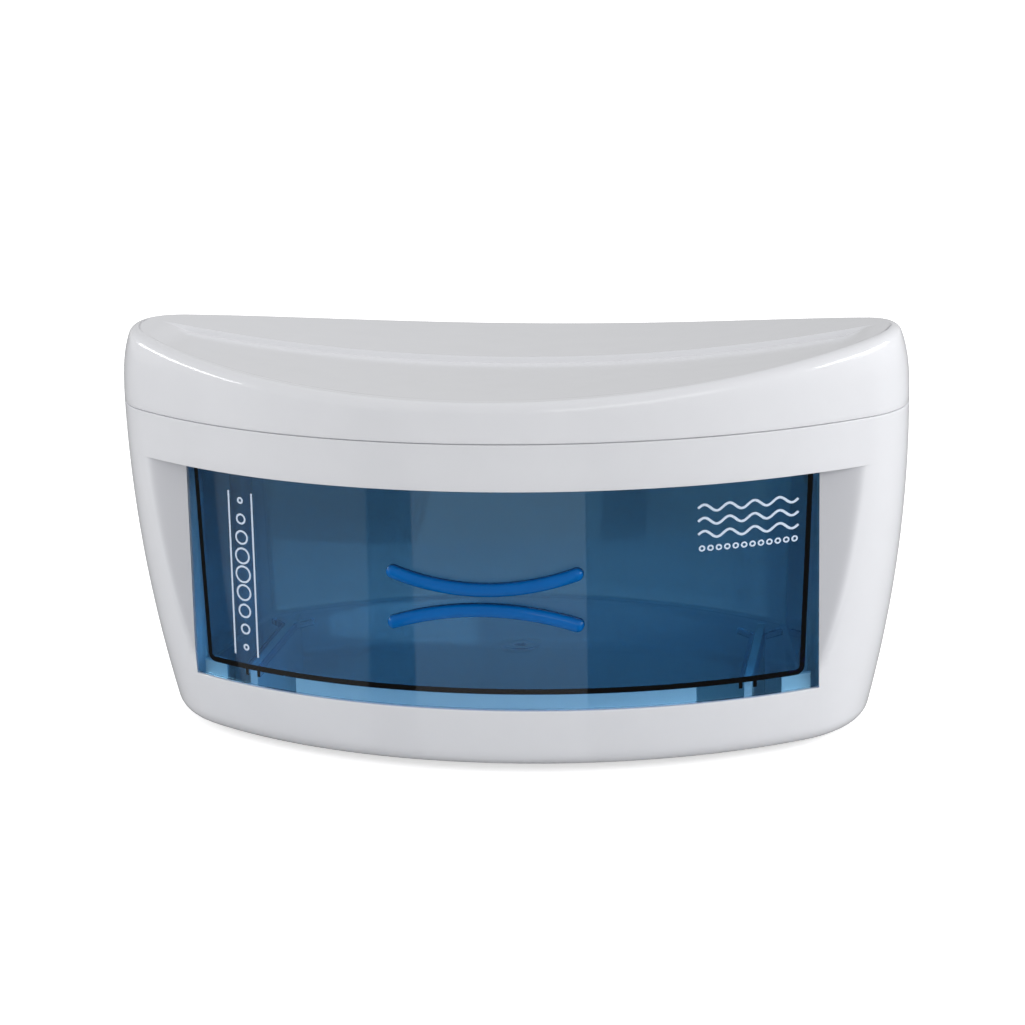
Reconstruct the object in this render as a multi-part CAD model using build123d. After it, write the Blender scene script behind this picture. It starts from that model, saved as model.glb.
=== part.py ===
from build123d import *
import math
import os

# UV sterilizer cabinet with one pull-out tray drawer.
# Frame: +X to the right, +Y to the back, +Z up; origin under the middle of the case, on the
# surface that the feet stand on. All sizes are in millimetres.

os.makedirs("parts", exist_ok=True)

# ---------------------------------------------------------------- case and cover
case_width = 370.0        # widest, at the seam between lower case and top cover
case_depth = 212.0        # front to back at the seam
case_height = 153.3       # lower case, from its underside to the seam
end_radius = 53.0         # plan radius of the two ends, at the seam
end_radius_gain = 5.0     # how much rounder the ends are at the base
side_taper = 20.0         # how far each end draws in from the seam to the base
side_barrel = 2.0         # power of that curve: 1 is a straight cone
front_lean = 19.0         # how far the bowed front falls back at the base
front_barrel = 0.85
back_lean = 6.0
base_round = 8.0          # rounding of the case's bottom edge
case_wall = 2.5
foot_height = 3.0         # how far the rubber feet lift the case
seam_gap = 0.4            # shadow line between lower case and top cover
tongue_height = 3.0       # lip of the lower case that locates the cover
tongue_wall = 1.2

cover_middle = 17.8       # cover height above the seam, at the middle of the saddle
saddle_radius = 880.0     # the top dips towards the middle on this radius
cover_reach = 41.0        # height over which the cover's ends curve in
cover_draw_in = 8.0       # how far they curve in over that height
cover_barrel = 3.2
rim_round = 5.0
step_depth = 2.5          # drop from the rear half of the top to the front tray
step_offset = 8.0         # the step lies this far behind the middle
tray_land = 9.0           # width of the rim around the front tray
tray_corner = 8.0

# ---------------------------------------------------------------- window and drawer
window_bottom = 27.8      # levels above the case's underside
window_band = 22.0        # case left standing between the window and the seam
window_half = 146.3
land_lead = 3.2           # flat lands beside the window, in front of the panel's side edge
land_turn = 13.0          # degrees that each land turns away from the window
panel_inset = 1.0         # panel behind the case surface at the window's lower edge
panel_gap = 0.35
panel_wall = 3.0
panel_corner = 1.5
tub_wall = 2.4
tub_floor = 2.6
tub_lift = 7.0            # tub underside above the window's lower edge
tub_top_gap = 3.0         # tub rim below the window's upper edge
tub_flange = 7.6          # panel stands out past the tub's foot on each side
tub_draft = 2.4           # degrees that the tub opens upwards
tub_draw_in = 11.0        # the tub narrows this much per side towards its back corners
tub_back_gap = 28.0       # tub's back foot to the outside of the case at the seam
tub_back_bulge = 44.0     # the tub's back bows out this far past its corners
tub_corner = 6.0
tub_foot_round = 4.0

ridge_span = 89.0         # handle: two bowed ridges on the panel
ridge_width = 6.0
ridge_height = 5.0
ridge_bow = 7.0           # how far each ridge's ends turn away from the other
ridge_gap = 9.3           # between the ridges' centre lines at the middle
ridge_edge = 2.7

rail_x = 114.4            # guide rails under the tub
rail_width = 3.4
rail_rib = 1.6            # drawer ribs that straddle each rail
rail_play = 0.6
rib_height = 2.8
rib_length = 76.0
rib_flare = 7.0
glide_gap = 0.3           # tub underside above rails and sill pads
pad_wall = 2.6
pad_setback = 0.7         # sill pads behind the panel's back
pad_long_half = 92.0
pad_short_length = 12.5
pad_end_gap = 4.8

# ---------------------------------------------------------------- posts, screws, feet
post_radius = 5.5
post_front_inset = 36.0   # in from the case's end; the front posts carry the deck
post_front_clear = 7.0    # in front of the lamp's channel
post_back_inset = 43.0    # the back posts also take the cover's screws
post_back_clear = 12.0    # behind the channel
post_well_radius = 4.0
post_seat = 23.8          # post left above its screw's well
screw_radius = 1.75
screw_hole_gap = 0.35
screw_head_radius = 3.5
screw_head_height = 2.4
screw_bite = 12.0         # screw length inside the cover's boss
deck_screw_radius = 1.5
deck_screw_length = 9.0
boss_radius = 4.0
foot_radius = 8.0
foot_seat = 0.8
foot_front_inset = (80.0, 70.0)
foot_back_inset = (80.0, 56.0)
foot_round = 1.0

# ---------------------------------------------------------------- lamp deck and lamp
deck_wall = 2.0
deck_gap = 0.6
channel_half = 22.0
channel_length = 326.0
channel_ceiling = 17.5    # underside of the channel above the deck's underside
lamp_length = 288.0       # cap face to cap face
lamp_radius = 8.0
lamp_cap = 10.0
lamp_cap_wall = 0.3
lamp_glass_gap = 0.05
lamp_glass_wall = 0.7
lamp_pin_length = 7.1
lamp_pin_radius = 1.175
lamp_pin_spacing = 4.75
lamp_drop = 12.0          # lamp axis below the channel's ceiling
holder_thick = 10.0
holder_width = 20.0
holder_below = 8.5        # holder below the lamp axis
holder_slot = 3.2
reflector_wall = 0.6
reflector_top = 22.0
reflector_foot = 38.0
reflector_drop = 15.0

# ---------------------------------------------------------------- electrical pieces
pocket_width = 84.0       # flat panel let into the back
pocket_height = 13.5
pocket_below_seam = 1.5
pocket_inset = 4.6
switch_x = -24.0
switch_bezel = (15.0, 10.5, 1.6)
switch_body = (13.0, 8.6, 14.0)
rocker_half = 5.2
rocker_height = 6.8
rocker_gap = 0.4
rocker_tip = 2.6          # the rocker's raised end above its pivot
rocker_valley = 1.4
rocker_swing = 16.0       # degrees from off to on
rocker_stub = 0.8
gland_x = 24.0
gland_bore_radius = 3.5
gland_hole_radius = 5.0
gland_flange_radius = 6.2
gland_flange = 2.2
gland_tail = 2.0
gland_nut = 2.0
gland_gap = 0.05
plate_fit = 0.15

bracket_size = (34.0, 14.0, 1.5)
micro_size = (27.8, 15.9, 10.3)
lever_gap = 0.3           # lever in front of the closed tub's back
lever_wall = 0.6
lever_height = 4.5
lever_tip = 15.0
lever_pin_x = -12.6
lever_pin_radius = 0.8
lever_pin_play = 0.05
lever_eye = 1.5
ear_wall = 1.2
ear_gap = 0.1
plunger_radius = 1.5

ballast_at = (-80.0, 46.0)
ballast_core_size = (56.0, 26.0, 17.0)
ballast_coil = (9.0, 20.0, 13.0)
ballast_base = (96.0, 30.0, 1.0)
ballast_hole_radius = 2.1
starter_at = (44.0, 46.0)
starter_radius = 10.7
starter_length = 33.0
starter_cap = 3.0
starter_pin = (2.2, 4.0)
starter_pin_spacing = 12.7
starter_lift = 0.8
socket_size = (9.0, 26.0, 24.0)
socket_slot = 0.4
terminal_at = (2.0, 50.0)
terminal_size = (30.0, 16.0, 13.0)
terminal_poles = 3
terminal_tube_radius = 2.2
terminal_screw_radius = 1.6

# ---------------------------------------------------------------- sizes worked out from these
overrun = 10.0            # how far cutting solids reach past what they cut
base_z = foot_height
window_top = case_height - window_band
ridge_level = (window_bottom + window_top) / 2
pad_short_end = window_half - pad_end_gap
pad_short_start = pad_short_end - pad_short_length
pocket_top = case_height - pocket_below_seam
pocket_bottom = pocket_top - pocket_height


def from_corner(inset, end):
    """A place measured in from the case's side, and from its front (-1) or back (1)."""
    return case_width / 2 - inset[0], end * (case_depth / 2 - inset[1])


post_front = (case_width / 2 - post_front_inset, -channel_half - post_front_clear)
post_back = (case_width / 2 - post_back_inset, channel_half + post_back_clear)
foot_front, foot_back = from_corner(foot_front_inset, -1), from_corner(foot_back_inset, 1)


# ---------------------------------------------------------------- helpers
def block(low, high):
    """A box between two opposite corners."""
    size = [b - a for a, b in zip(low, high)]
    return Pos(*low) * Box(*size, align=(Align.MIN, Align.MIN, Align.MIN))


def column(radius, x, y, low, high):
    """A round bar standing along Z."""
    bottom = (Align.CENTER, Align.CENTER, Align.MIN)
    return Pos(x, y, low) * Cylinder(radius, high - low, align=bottom)


def bar(radius, start, end):
    """A round bar between two points."""
    axis = Vector(*end) - Vector(*start)
    bottom = (Align.CENTER, Align.CENTER, Align.MIN)
    return Plane(Vector(*start), z_dir=axis) * Cylinder(radius, axis.length, align=bottom)


def mirrored(shape):
    """The shape and its twin on the other side of the middle plane."""
    return shape + shape.mirror(Plane.YZ)


def both_sides(place):
    """A place and its twin on the other side of the middle plane."""
    return [(side * place[0], place[1]) for side in (-1, 1)]


# ---------------------------------------------------------------- outlines of the case
def bow_radius(half_width, half_depth, end):
    """Radius of the front and back arcs that meet both end arcs tangentially."""
    return ((half_width - end) ** 2 + half_depth**2 - end**2) / (2 * (half_depth - end))


def lens(half_width, front, back, end, level):
    """Plan outline of two bowed arcs and two tangent end arcs, as a face at one level."""
    middle = (front + back) / 2
    half_depth = (back - front) / 2
    bow = bow_radius(half_width, half_depth, end)
    reach = bow / (bow - end)
    touch_x = (half_width - end) * reach
    touch_y = (bow - half_depth) * (reach - 1)
    front_y, back_y = middle - touch_y, middle + touch_y
    edges = [
        ThreePointArc((-touch_x, front_y), (0, front), (touch_x, front_y)),
        ThreePointArc((touch_x, front_y), (half_width, middle), (touch_x, back_y)),
        ThreePointArc((touch_x, back_y), (0, back), (-touch_x, back_y)),
        ThreePointArc((-touch_x, back_y), (-half_width, middle), (-touch_x, front_y)),
    ]
    return Pos(0, 0, base_z + level) * make_face(edges)


def case_plan(level, inset=0.0):
    """Half width, front, back and end radius of the lower case at a level."""
    down = max(0.0, (case_height - level) / case_height)
    half_width = case_width / 2 - side_taper * down**side_barrel - inset
    front = -case_depth / 2 + front_lean * down**front_barrel + inset
    back = case_depth / 2 - back_lean * down - inset
    return half_width, front, back, end_radius + end_radius_gain * down - inset


def cover_plan(level, inset=0.0):
    """The same for the top cover, whose ends curve in towards the rim."""
    up = max(0.0, (level - case_height) / cover_reach)
    drawn = cover_draw_in * up**cover_barrel
    half_width = case_width / 2 - drawn - inset
    front = -case_depth / 2 + drawn / 2 + inset
    back = case_depth / 2 - drawn / 2 - inset
    return half_width, front, back, end_radius - drawn / 2 - inset


def case_loft(bottom, top, inset=0.0):
    """The lower case's barrel form between two levels."""
    steps = 6
    levels = [bottom + (top - bottom) * i / steps for i in range(steps + 1)]
    return loft([lens(*case_plan(level, inset), level) for level in levels])


def cover_loft(bottom, top, inset=0.0):
    """The top cover's form between two levels, before the saddle is cut."""
    steps = 5
    levels = [bottom + (top - bottom) * i / steps for i in range(steps + 1)]
    return loft([lens(*cover_plan(level, inset), level) for level in levels])


# ---------------------------------------------------------------- window and recess
def panel_centre_and_radius():
    """The drawer panel is a standing cylinder that follows the case at the window's foot."""
    half_width, front, back, end = case_plan(window_bottom)
    radius = bow_radius(half_width, (back - front) / 2, end)
    return front + panel_inset + radius, radius


panel_centre, panel_radius = panel_centre_and_radius()


def panel_core(depth):
    """Everything behind the panel's face, set back by depth."""
    return column(panel_radius - depth, 0, panel_centre, -overrun, base_z + case_height + overrun)


def panel_y(x, depth=0.0):
    """Where the panel's face, set back by depth, lies at x."""
    return panel_centre - math.sqrt((panel_radius - depth) ** 2 - x**2)


def land_cutter(grow=0.0):
    """Space in front of the right-hand land, a flat turned plane that fades into the case's end."""
    turn = math.radians(land_turn)
    inner, outer = window_half - panel_gap, case_width / 2
    set_back = panel_y(window_half) - land_lead + grow / math.cos(turn)
    corners = [
        (inner, -case_depth),
        (outer, -case_depth),
        (outer, set_back + (outer - window_half) * math.tan(turn)),
        (inner, set_back + (inner - window_half) * math.tan(turn)),
    ]
    outline = make_face(Polyline(*corners, close=True))
    height = window_top - window_bottom + 2 * grow
    return extrude(Pos(0, 0, base_z + window_bottom - grow) * outline, height)


def recess_cutter(grow=0.0):
    """Space in front of the closed panel and of the two lands beside it, grown by a wall."""
    half = window_half + grow
    front = block(
        (-half, -case_depth, base_z + window_bottom - grow),
        (half, panel_y(half, grow), base_z + window_top + grow),
    )
    return front - panel_core(grow) + mirrored(land_cutter(grow))


def window_cutter():
    """The opening that the drawer passes through."""
    back = panel_y(window_half, case_wall) + overrun
    return block(
        (-window_half, -case_depth, base_z + window_bottom),
        (window_half, back, base_z + window_top),
    )


# ---------------------------------------------------------------- levels shared by the pieces
tub_level = window_bottom + tub_lift                   # underside of the tub
tub_rim = window_top - tub_top_gap
deck_level = window_top + case_wall                    # the deck rests on the window's ledge
post_well_level = deck_level - post_seat
deck_top = deck_level + deck_wall
channel_level = deck_level + channel_ceiling
lamp_level = channel_level - lamp_drop
glide_top = tub_level - glide_gap
pocket_y = case_depth / 2 - pocket_inset
pocket_level = (pocket_bottom + pocket_top) / 2
tub_back_foot = case_depth / 2 - tub_back_gap
tub_back_rim = tub_back_foot + (tub_rim - tub_level) * math.tan(math.radians(tub_draft))


# ---------------------------------------------------------------- lower case
def pocket_cutter(grow=0.0):
    """Flat panel let into the bowed back for the switch and the cord inlet."""
    half = pocket_width / 2 + grow
    return block(
        (-half, pocket_y - grow, base_z + pocket_bottom - grow),
        (half, case_depth, base_z + pocket_top + grow),
    )


def seam_ring(outer_inset, inner_inset, level, height):
    """A band that follows the plan outline at the seam."""
    outer = lens(*case_plan(case_height, outer_inset), level)
    inner = lens(*case_plan(case_height, inner_inset), level)
    return extrude(outer - inner, height)


def case_shell():
    """The moulded wall with recess, pocket and window, hollow from above."""
    outer = case_loft(0, case_height)
    outer = fillet(outer.faces().sort_by(Axis.Z)[0].edges(), base_round)
    cavity = case_loft(case_wall, case_height, case_wall)
    cavity = fillet(cavity.faces().sort_by(Axis.Z)[0].edges(), base_round - case_wall)
    cavity = cavity - recess_cutter(case_wall) - pocket_cutter(case_wall)
    return outer - recess_cutter() - pocket_cutter() - cavity - window_cutter()


def sill_flange():
    """Shelf behind the window's lower edge, with the pads that the tub glides on."""
    back = panel_wall + pad_setback + pad_wall
    top = base_z + window_bottom - 2 * panel_gap
    shelf_half = window_half - panel_gap
    shelf = (panel_core(-pad_setback) - panel_core(back)) & block(
        (-shelf_half, -case_depth, top - case_wall), (shelf_half, panel_y(shelf_half, back), top)
    )
    pads = panel_core(back - pad_wall) - panel_core(back)
    ranges = [
        (-pad_long_half, pad_long_half),
        (pad_short_start, pad_short_end),
        (-pad_short_end, -pad_short_start),
    ]
    for low, high in ranges:
        slot = block((low, -case_depth, top - 1), (high, 0, base_z + glide_top))
        shelf += pads & slot
    return shelf


def guide_rails():
    """Two standing ribs that steer the drawer and carry its floor."""
    front = panel_y(rail_x + rail_width / 2, panel_wall + pad_setback)
    back = tub_corner_y()
    return mirrored(
        block(
            (rail_x - rail_width / 2, front, base_z + case_wall / 2),
            (rail_x + rail_width / 2, back, base_z + glide_top),
        )
    )


def lower_case():
    case = case_shell() + sill_flange() + guide_rails()
    tongue_out = case_wall - tongue_wall
    case += seam_ring(tongue_out, case_wall, case_height, tongue_height)
    mid_wall = case_loft(case_wall / 2, deck_level, case_wall / 2)
    mid_wall = fillet(mid_wall.faces().sort_by(Axis.Z)[0].edges(), base_round - case_wall / 2)
    mid_wall = mid_wall - recess_cutter(case_wall / 2)
    for x, y in both_sides(post_front) + both_sides(post_back):
        case += column(post_radius, x, y, 0, base_z + deck_level) & mid_wall
    for x, y in both_sides(post_back):
        hole = screw_radius + screw_hole_gap
        case -= column(post_well_radius, x, y, 0, base_z + post_well_level)
        case -= column(hole, x, y, 0, base_z + deck_level + 1)
    for x, y in both_sides(post_front):
        pilot = deck_screw_radius + gland_gap
        case -= column(pilot, x, y, base_z + deck_level - 2 * deck_screw_length, base_z + case_height)
    for x, y in feet_places():
        case -= column(foot_radius + panel_gap / 2, x, y, 0, base_z + foot_seat)
    switch_hole = [size / 2 + plate_fit for size in switch_body]
    case -= block(
        (switch_x - switch_hole[0], pocket_y - 2 * case_wall, base_z + pocket_level - switch_hole[1]),
        (switch_x + switch_hole[0], case_depth, base_z + pocket_level + switch_hole[1]),
    )
    case -= bar(
        gland_hole_radius,
        (gland_x, pocket_y - 2 * case_wall, base_z + pocket_level),
        (gland_x, case_depth, base_z + pocket_level),
    )
    return case


# ---------------------------------------------------------------- top cover
def saddle(drop=0.0):
    """The space above the dipped top surface, lowered by drop."""
    axis_level = base_z + case_height + cover_middle + saddle_radius
    return Pos(0, 0, axis_level) * Rot(90, 0, 0) * Cylinder(saddle_radius + drop, 3 * case_depth)


def tray_cutter(grow=0.0):
    """Crescent front tray: its floor falls from the front rim to the step across the top."""
    front = -case_depth / 2 + tray_land
    tilt = math.degrees(math.atan(step_depth / (step_offset - front)))
    pivot = Axis((0, front, base_z + case_height + cover_middle), (1, 0, 0))
    plan = lens(*cover_plan(case_height, tray_land - grow), case_height)
    half = block(
        (-case_width, -case_depth, 0), (case_width, step_offset + grow, 3 * case_height)
    )
    prism = extrude(plan, case_height) & half
    ends = prism.edges().filter_by(Axis.Z).group_by(Axis.Y)[-1]
    prism = fillet(ends, tray_corner + grow)
    return prism & saddle(grow).rotate(pivot, -tilt)


def top_cover():
    low = case_height + seam_gap
    high = case_height + cover_reach
    body = cover_loft(low, high) - saddle()
    rim = body.faces().filter_by(GeomType.CYLINDER)[0].edges()
    body = fillet(rim, rim_round) - tray_cutter()
    hollow = cover_loft(low, high, case_wall) - saddle(case_wall) - tray_cutter(case_wall)
    cover = body - hollow
    rebate = case_wall - tongue_wall - plate_fit
    cover -= seam_ring(rebate, 2 * case_wall, low, tongue_height + plate_fit)
    for x, y in both_sides(post_back):
        boss = column(boss_radius, x, y, base_z + deck_top, base_z + high)
        boss = boss - saddle(case_wall / 2) - tray_cutter(case_wall / 2)
        cover += boss
        pilot = screw_radius + gland_gap
        cover -= column(pilot, x, y, 0, base_z + deck_top + screw_bite + 2)
    return cover


def feet_places():
    """Centres of the four feet."""
    return [(side * x, y) for x, y in (foot_front, foot_back) for side in (-1, 1)]


def deck_screw(x, y):
    """Short self-tapping screw that holds the deck on a front post."""
    seat = base_z + deck_top
    head = column(screw_head_radius, x, y, seat, seat + screw_head_height)
    head = chamfer(head.edges().sort_by(Axis.Z)[-1], screw_head_height / 3)
    return head + column(deck_screw_radius, x, y, seat - deck_screw_length, seat)


def foot(x, y):
    """A rubber pad let into the underside."""
    pad = column(foot_radius, x, y, 0, base_z + foot_seat)
    return chamfer(pad.edges().sort_by(Axis.Z)[0], foot_round)


def case_screw(x, y):
    """Self-tapping screw that comes up through a post, the deck and the cover's boss."""
    seat = base_z + post_well_level
    head = column(screw_head_radius, x, y, seat - screw_head_height, seat)
    head = chamfer(head.edges().sort_by(Axis.Z)[0], screw_head_height / 3)
    return head + column(screw_radius, x, y, seat, base_z + deck_top + screw_bite)


# ---------------------------------------------------------------- drawer
def tub_half(y, level):
    """Half width of the tub's outside at y and level."""
    front_y = panel_y(window_half)
    along = (y - front_y) / (tub_corner_y() - front_y)
    opened = (level - tub_level) * math.tan(math.radians(tub_draft))
    return window_half - tub_flange - tub_draw_in * along + opened


def tub_corner_y():
    """Where the tub's straight sides turn into its bowed back."""
    return tub_back_foot - tub_back_bulge


def tub_face(level, inset=0.0):
    """Plan of the tub: straight sides that close in, and a bowed back."""
    opened = (level - tub_level) * math.tan(math.radians(tub_draft))
    front_y = -case_depth / 2
    corner_y = tub_corner_y() + (opened - inset) / 2
    back_y = tub_back_foot + opened - inset
    front_half = tub_half(front_y, level) - inset
    corner_half = tub_half(tub_corner_y(), level) - inset
    edges = [
        Line((-front_half, front_y), (front_half, front_y)),
        Line((front_half, front_y), (corner_half, corner_y)),
        ThreePointArc((corner_half, corner_y), (0, back_y), (-corner_half, corner_y)),
        Line((-corner_half, corner_y), (-front_half, front_y)),
    ]
    face = make_face(edges)
    corners = face.vertices().group_by(Axis.Y)[-1]
    face = fillet(corners, tub_corner - inset)
    return Pos(0, 0, base_z + level) * face


def tub_block(bottom, inset, round_radius):
    """The tub's outside or inside as a solid, open way up, with a rounded foot."""
    top = tub_rim if inset == 0 else 2 * tub_rim - bottom
    solid = loft([tub_face(bottom, inset), tub_face(top, inset)], ruled=True)
    foot_edges = solid.faces().sort_by(Axis.Z)[0].edges()
    return fillet(foot_edges, round_radius)


def drawer_panel():
    """Bowed front panel, wider and lower than the tub behind it."""
    half = window_half - panel_gap
    low, high = window_bottom + panel_gap, window_top - panel_gap
    slab = Plane.XZ * Rectangle(2 * half, high - low)
    slab = fillet(slab.vertices(), panel_corner)
    slab = Pos(0, 0, base_z + (low + high) / 2) * extrude(slab, case_depth)
    return slab & (panel_core(0) - panel_core(panel_wall))


def grip_ridges():
    """Two bowed ridges that the fingers pull on, bent away from each other."""
    shell = panel_core(-ridge_height) - panel_core(panel_wall / 2)
    ridges = []
    for side in (-1, 1):
        middle = ridge_level + side * ridge_gap / 2
        end = middle + side * ridge_bow
        half = (ridge_span - ridge_width) / 2
        arc = ThreePointArc((-half, end), (0, middle), (half, end))
        outline = Plane.XZ * SlotArc(arc, ridge_width)
        ridge = Pos(0, 0, base_z) * extrude(outline, case_depth) & shell
        front_face = ridge.faces().filter_by(GeomType.CYLINDER).sort_by(Axis.Y)[0]
        ridges.append(fillet(front_face.edges(), ridge_edge))
    return ridges


def guide_ribs():
    """Pairs of ribs under the floor; their back ends flare to catch the rails."""
    front = panel_y(rail_x, panel_wall / 2)
    back = front + rib_length
    reach = rail_width / 2 + rail_play
    low, high = base_z + tub_level - rib_height, base_z + tub_level + tub_floor / 2
    ribs = []
    for side in (-1, 1):
        inner, outer = rail_x + side * reach, rail_x + side * (reach + rail_rib)
        straight = block(
            (min(inner, outer), front, low), (max(inner, outer), back, high)
        )
        flare_half = make_face(
            Polyline(
                (inner, back - 1),
                (outer, back - 1),
                (outer + side * rib_flare, back + rib_flare),
                (inner + side * rib_flare, back + rib_flare + rail_rib),
                close=True,
            )
        )
        flare = Pos(0, 0, low) * extrude(flare_half, high - low)
        ribs.append(straight + flare)
    return mirrored(ribs[0] + ribs[1])


def drawer():
    """One clear moulding: bowed panel with grip, tub, and ribs under the floor."""
    tub = tub_block(tub_level, 0, tub_foot_round) & panel_core(panel_wall / 2)
    inside = tub_block(tub_level + tub_floor, tub_wall, tub_foot_round - tub_wall)
    body = tub + drawer_panel() + guide_ribs() - (inside & panel_core(panel_wall))
    for ridge in grip_ridges():
        body += ridge
    return body


# ---------------------------------------------------------------- lamp deck and lamp
def lamp_deck():
    """Ceiling of the drawer bay, with a raised channel for the lamp."""
    half_length = channel_length / 2
    low, top = base_z + deck_level, base_z + channel_level
    plate = extrude(lens(*case_plan(deck_level, case_wall + deck_gap), deck_level), deck_wall)
    deck = plate + block(
        (-half_length, -channel_half, low), (half_length, channel_half, top + deck_wall)
    )
    deck -= block(
        (deck_wall - half_length, deck_wall - channel_half, low - 1),
        (half_length - deck_wall, channel_half - deck_wall, top),
    )
    notch_half = pocket_width / 2 + case_wall + deck_gap
    deck -= block(
        (-notch_half, pocket_y - case_wall - deck_gap, low - 1),
        (notch_half, case_depth, base_z + case_height),
    )
    for x, y in both_sides(post_front) + both_sides(post_back):
        deck -= column(screw_radius + screw_hole_gap, x, y, low - 1, base_z + deck_top + 1)
    return deck


def lamp_reflector():
    """Folded bright sheet above the lamp."""
    half_length = lamp_length / 2 - lamp_cap / 2
    top = base_z + channel_level
    foot_level = top - reflector_drop

    def section(shrink):
        corners = [
            (-reflector_foot / 2 + shrink, foot_level),
            (-reflector_top / 2 + shrink / 2, top - shrink),
            (reflector_top / 2 - shrink / 2, top - shrink),
            (reflector_foot / 2 - shrink, foot_level),
        ]
        return Plane.YZ * make_face(Polyline(*corners, close=True))

    sheet = extrude(section(0), half_length, both=True)
    return sheet - extrude(section(reflector_wall), half_length, both=True)


def lamp_tube():
    """Glass of the lamp, open where the caps close it."""
    radius = lamp_radius - lamp_cap_wall - lamp_glass_gap
    half = lamp_length / 2 - lamp_cap_wall - lamp_glass_gap
    axis = base_z + lamp_level
    glass = bar(radius, (-half, 0, axis), (half, 0, axis))
    return glass - bar(radius - lamp_glass_wall, (-half - 1, 0, axis), (half + 1, 0, axis))


def lamp_cap_piece(side):
    """Metal cap with its two contact pins."""
    axis = base_z + lamp_level
    face = side * lamp_length / 2
    cap = bar(lamp_radius, (face - side * lamp_cap, 0, axis), (face, 0, axis))
    inside = lamp_radius - lamp_cap_wall
    floor = face - side * lamp_cap_wall
    cap -= bar(inside, (face - side * 2 * lamp_cap, 0, axis), (floor, 0, axis))
    for end in (-1, 1):
        z = axis + end * lamp_pin_spacing / 2
        start = face - side * lamp_cap_wall / 2
        cap += bar(lamp_pin_radius, (start, 0, z), (start + side * lamp_pin_length, 0, z))
    return cap


def lampholder(side):
    """Moulded holder under the channel's ceiling, with the slot that the pins turn in."""
    axis = base_z + lamp_level
    near = lamp_length / 2 + lever_gap
    half = holder_width / 2
    body = block(
        (near, -half, axis - holder_below),
        (near + holder_thick, half, base_z + channel_level),
    )
    lower = body.edges().filter_by(Axis.X).group_by(Axis.Z)[0]
    body = fillet(lower, holder_width / 4)
    slot_top = axis + lamp_pin_spacing / 2 + holder_slot / 2
    body -= block(
        (near - 1, -holder_slot / 2, axis - 2 * holder_below),
        (near + lamp_pin_length + 1, holder_slot / 2, slot_top),
    )
    return body if side > 0 else body.mirror(Plane.YZ)


# ---------------------------------------------------------------- switches and cord inlet
def power_switch():
    """Housing of the mains switch: bezel, body and the well that the rocker tips in."""
    z = base_z + pocket_level
    length, height, thick = switch_bezel
    bezel = block(
        (switch_x - length / 2, pocket_y, z - height / 2),
        (switch_x + length / 2, pocket_y + thick, z + height / 2),
    )
    rim = bezel.faces().sort_by(Axis.Y)[-1].edges()
    bezel = chamfer(rim, thick / 3)
    length, height, depth = switch_body
    body = block(
        (switch_x - length / 2, pocket_y - depth, z - height / 2),
        (switch_x + length / 2, pocket_y + thick / 2, z + height / 2),
    )
    well_half = rocker_half + rocker_gap
    well_height = rocker_height / 2 + rocker_gap / 2
    well = block(
        (switch_x - well_half, pocket_y - well_half - rocker_gap, z - well_height),
        (switch_x + well_half, pocket_y + 2 * thick, z + well_height),
    )
    pivot = bar(
        rocker_stub + lever_pin_play,
        (switch_x, rocker_y(), z - well_height - rocker_stub),
        (switch_x, rocker_y(), z + well_height + rocker_stub),
    )
    housing = bezel + body - well - pivot
    for place in (-1, 0, 1):
        x = switch_x + place * length / 3
        housing += block(
            (x - plunger_radius, pocket_y - depth - terminal_size[2] / 2, z - lever_wall / 2),
            (x + plunger_radius, pocket_y - depth + 1, z + lever_wall / 2),
        )
    return housing


def rocker_y():
    """The rocker's pivot, just inside the bezel."""
    return pocket_y + rocker_gap


def power_rocker():
    """Rocker with a shallow valley and round belly, tipped to its off side."""
    z = base_z + pocket_level
    belly = ThreePointArc((rocker_half, 0), (0, -rocker_half), (-rocker_half, 0))
    outline = [
        Line((-rocker_half, 0), (-rocker_half, rocker_tip)),
        Line((-rocker_half, rocker_tip), (0, rocker_valley)),
        Line((0, rocker_valley), (rocker_half, rocker_tip)),
        Line((rocker_half, rocker_tip), (rocker_half, 0)),
        belly,
    ]
    half = rocker_height / 2
    rocker = extrude(make_face(outline), half, both=True)
    stub_end = half + rocker_gap / 2 + rocker_stub - plate_fit
    rocker += bar(rocker_stub, (0, 0, -stub_end), (0, 0, stub_end))
    return Pos(switch_x, rocker_y(), z) * Rot(0, 0, -rocker_swing / 2) * rocker


def cord_gland():
    """Bush that lines the cord's hole in the pocket; its bore stays free."""
    z = base_z + pocket_level
    back, front = pocket_y + gland_flange, pocket_y - case_wall
    bush = bar(gland_flange_radius, (gland_x, pocket_y, z), (gland_x, back, z))
    bush = chamfer(bush.faces().sort_by(Axis.Y)[-1].edges(), gland_flange / 4)
    bush += bar(gland_hole_radius - gland_gap, (gland_x, front, z), (gland_x, pocket_y, z))
    bush += bar(gland_flange_radius, (gland_x, front - gland_nut, z), (gland_x, front, z))
    tail = (gland_bore_radius + gland_flange_radius) / 2
    bush += bar(tail, (gland_x, back - 1, z), (gland_x, back + gland_tail, z))
    bore_start, bore_end = (gland_x, pocket_y - case_depth, z), (gland_x, case_depth, z)
    return bush - bar(gland_bore_radius, bore_start, bore_end)


def micro_box():
    """Lowest and highest corners of the interlock switch's body."""
    length, depth, thick = micro_size
    front = lever_y() + lever_eye + ear_wall + lever_gap
    high = base_z + deck_level - bracket_size[2]
    return (-length / 2, front, high - thick), (length / 2, front + depth, high)


def lever_y():
    """Front face of the interlock lever, a hair behind the closed tub."""
    return tub_back_rim + lever_gap


def lever_centre():
    """Level of the lever's middle."""
    low, high = micro_box()
    return (low[2] + high[2]) / 2 - lever_wall


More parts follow.
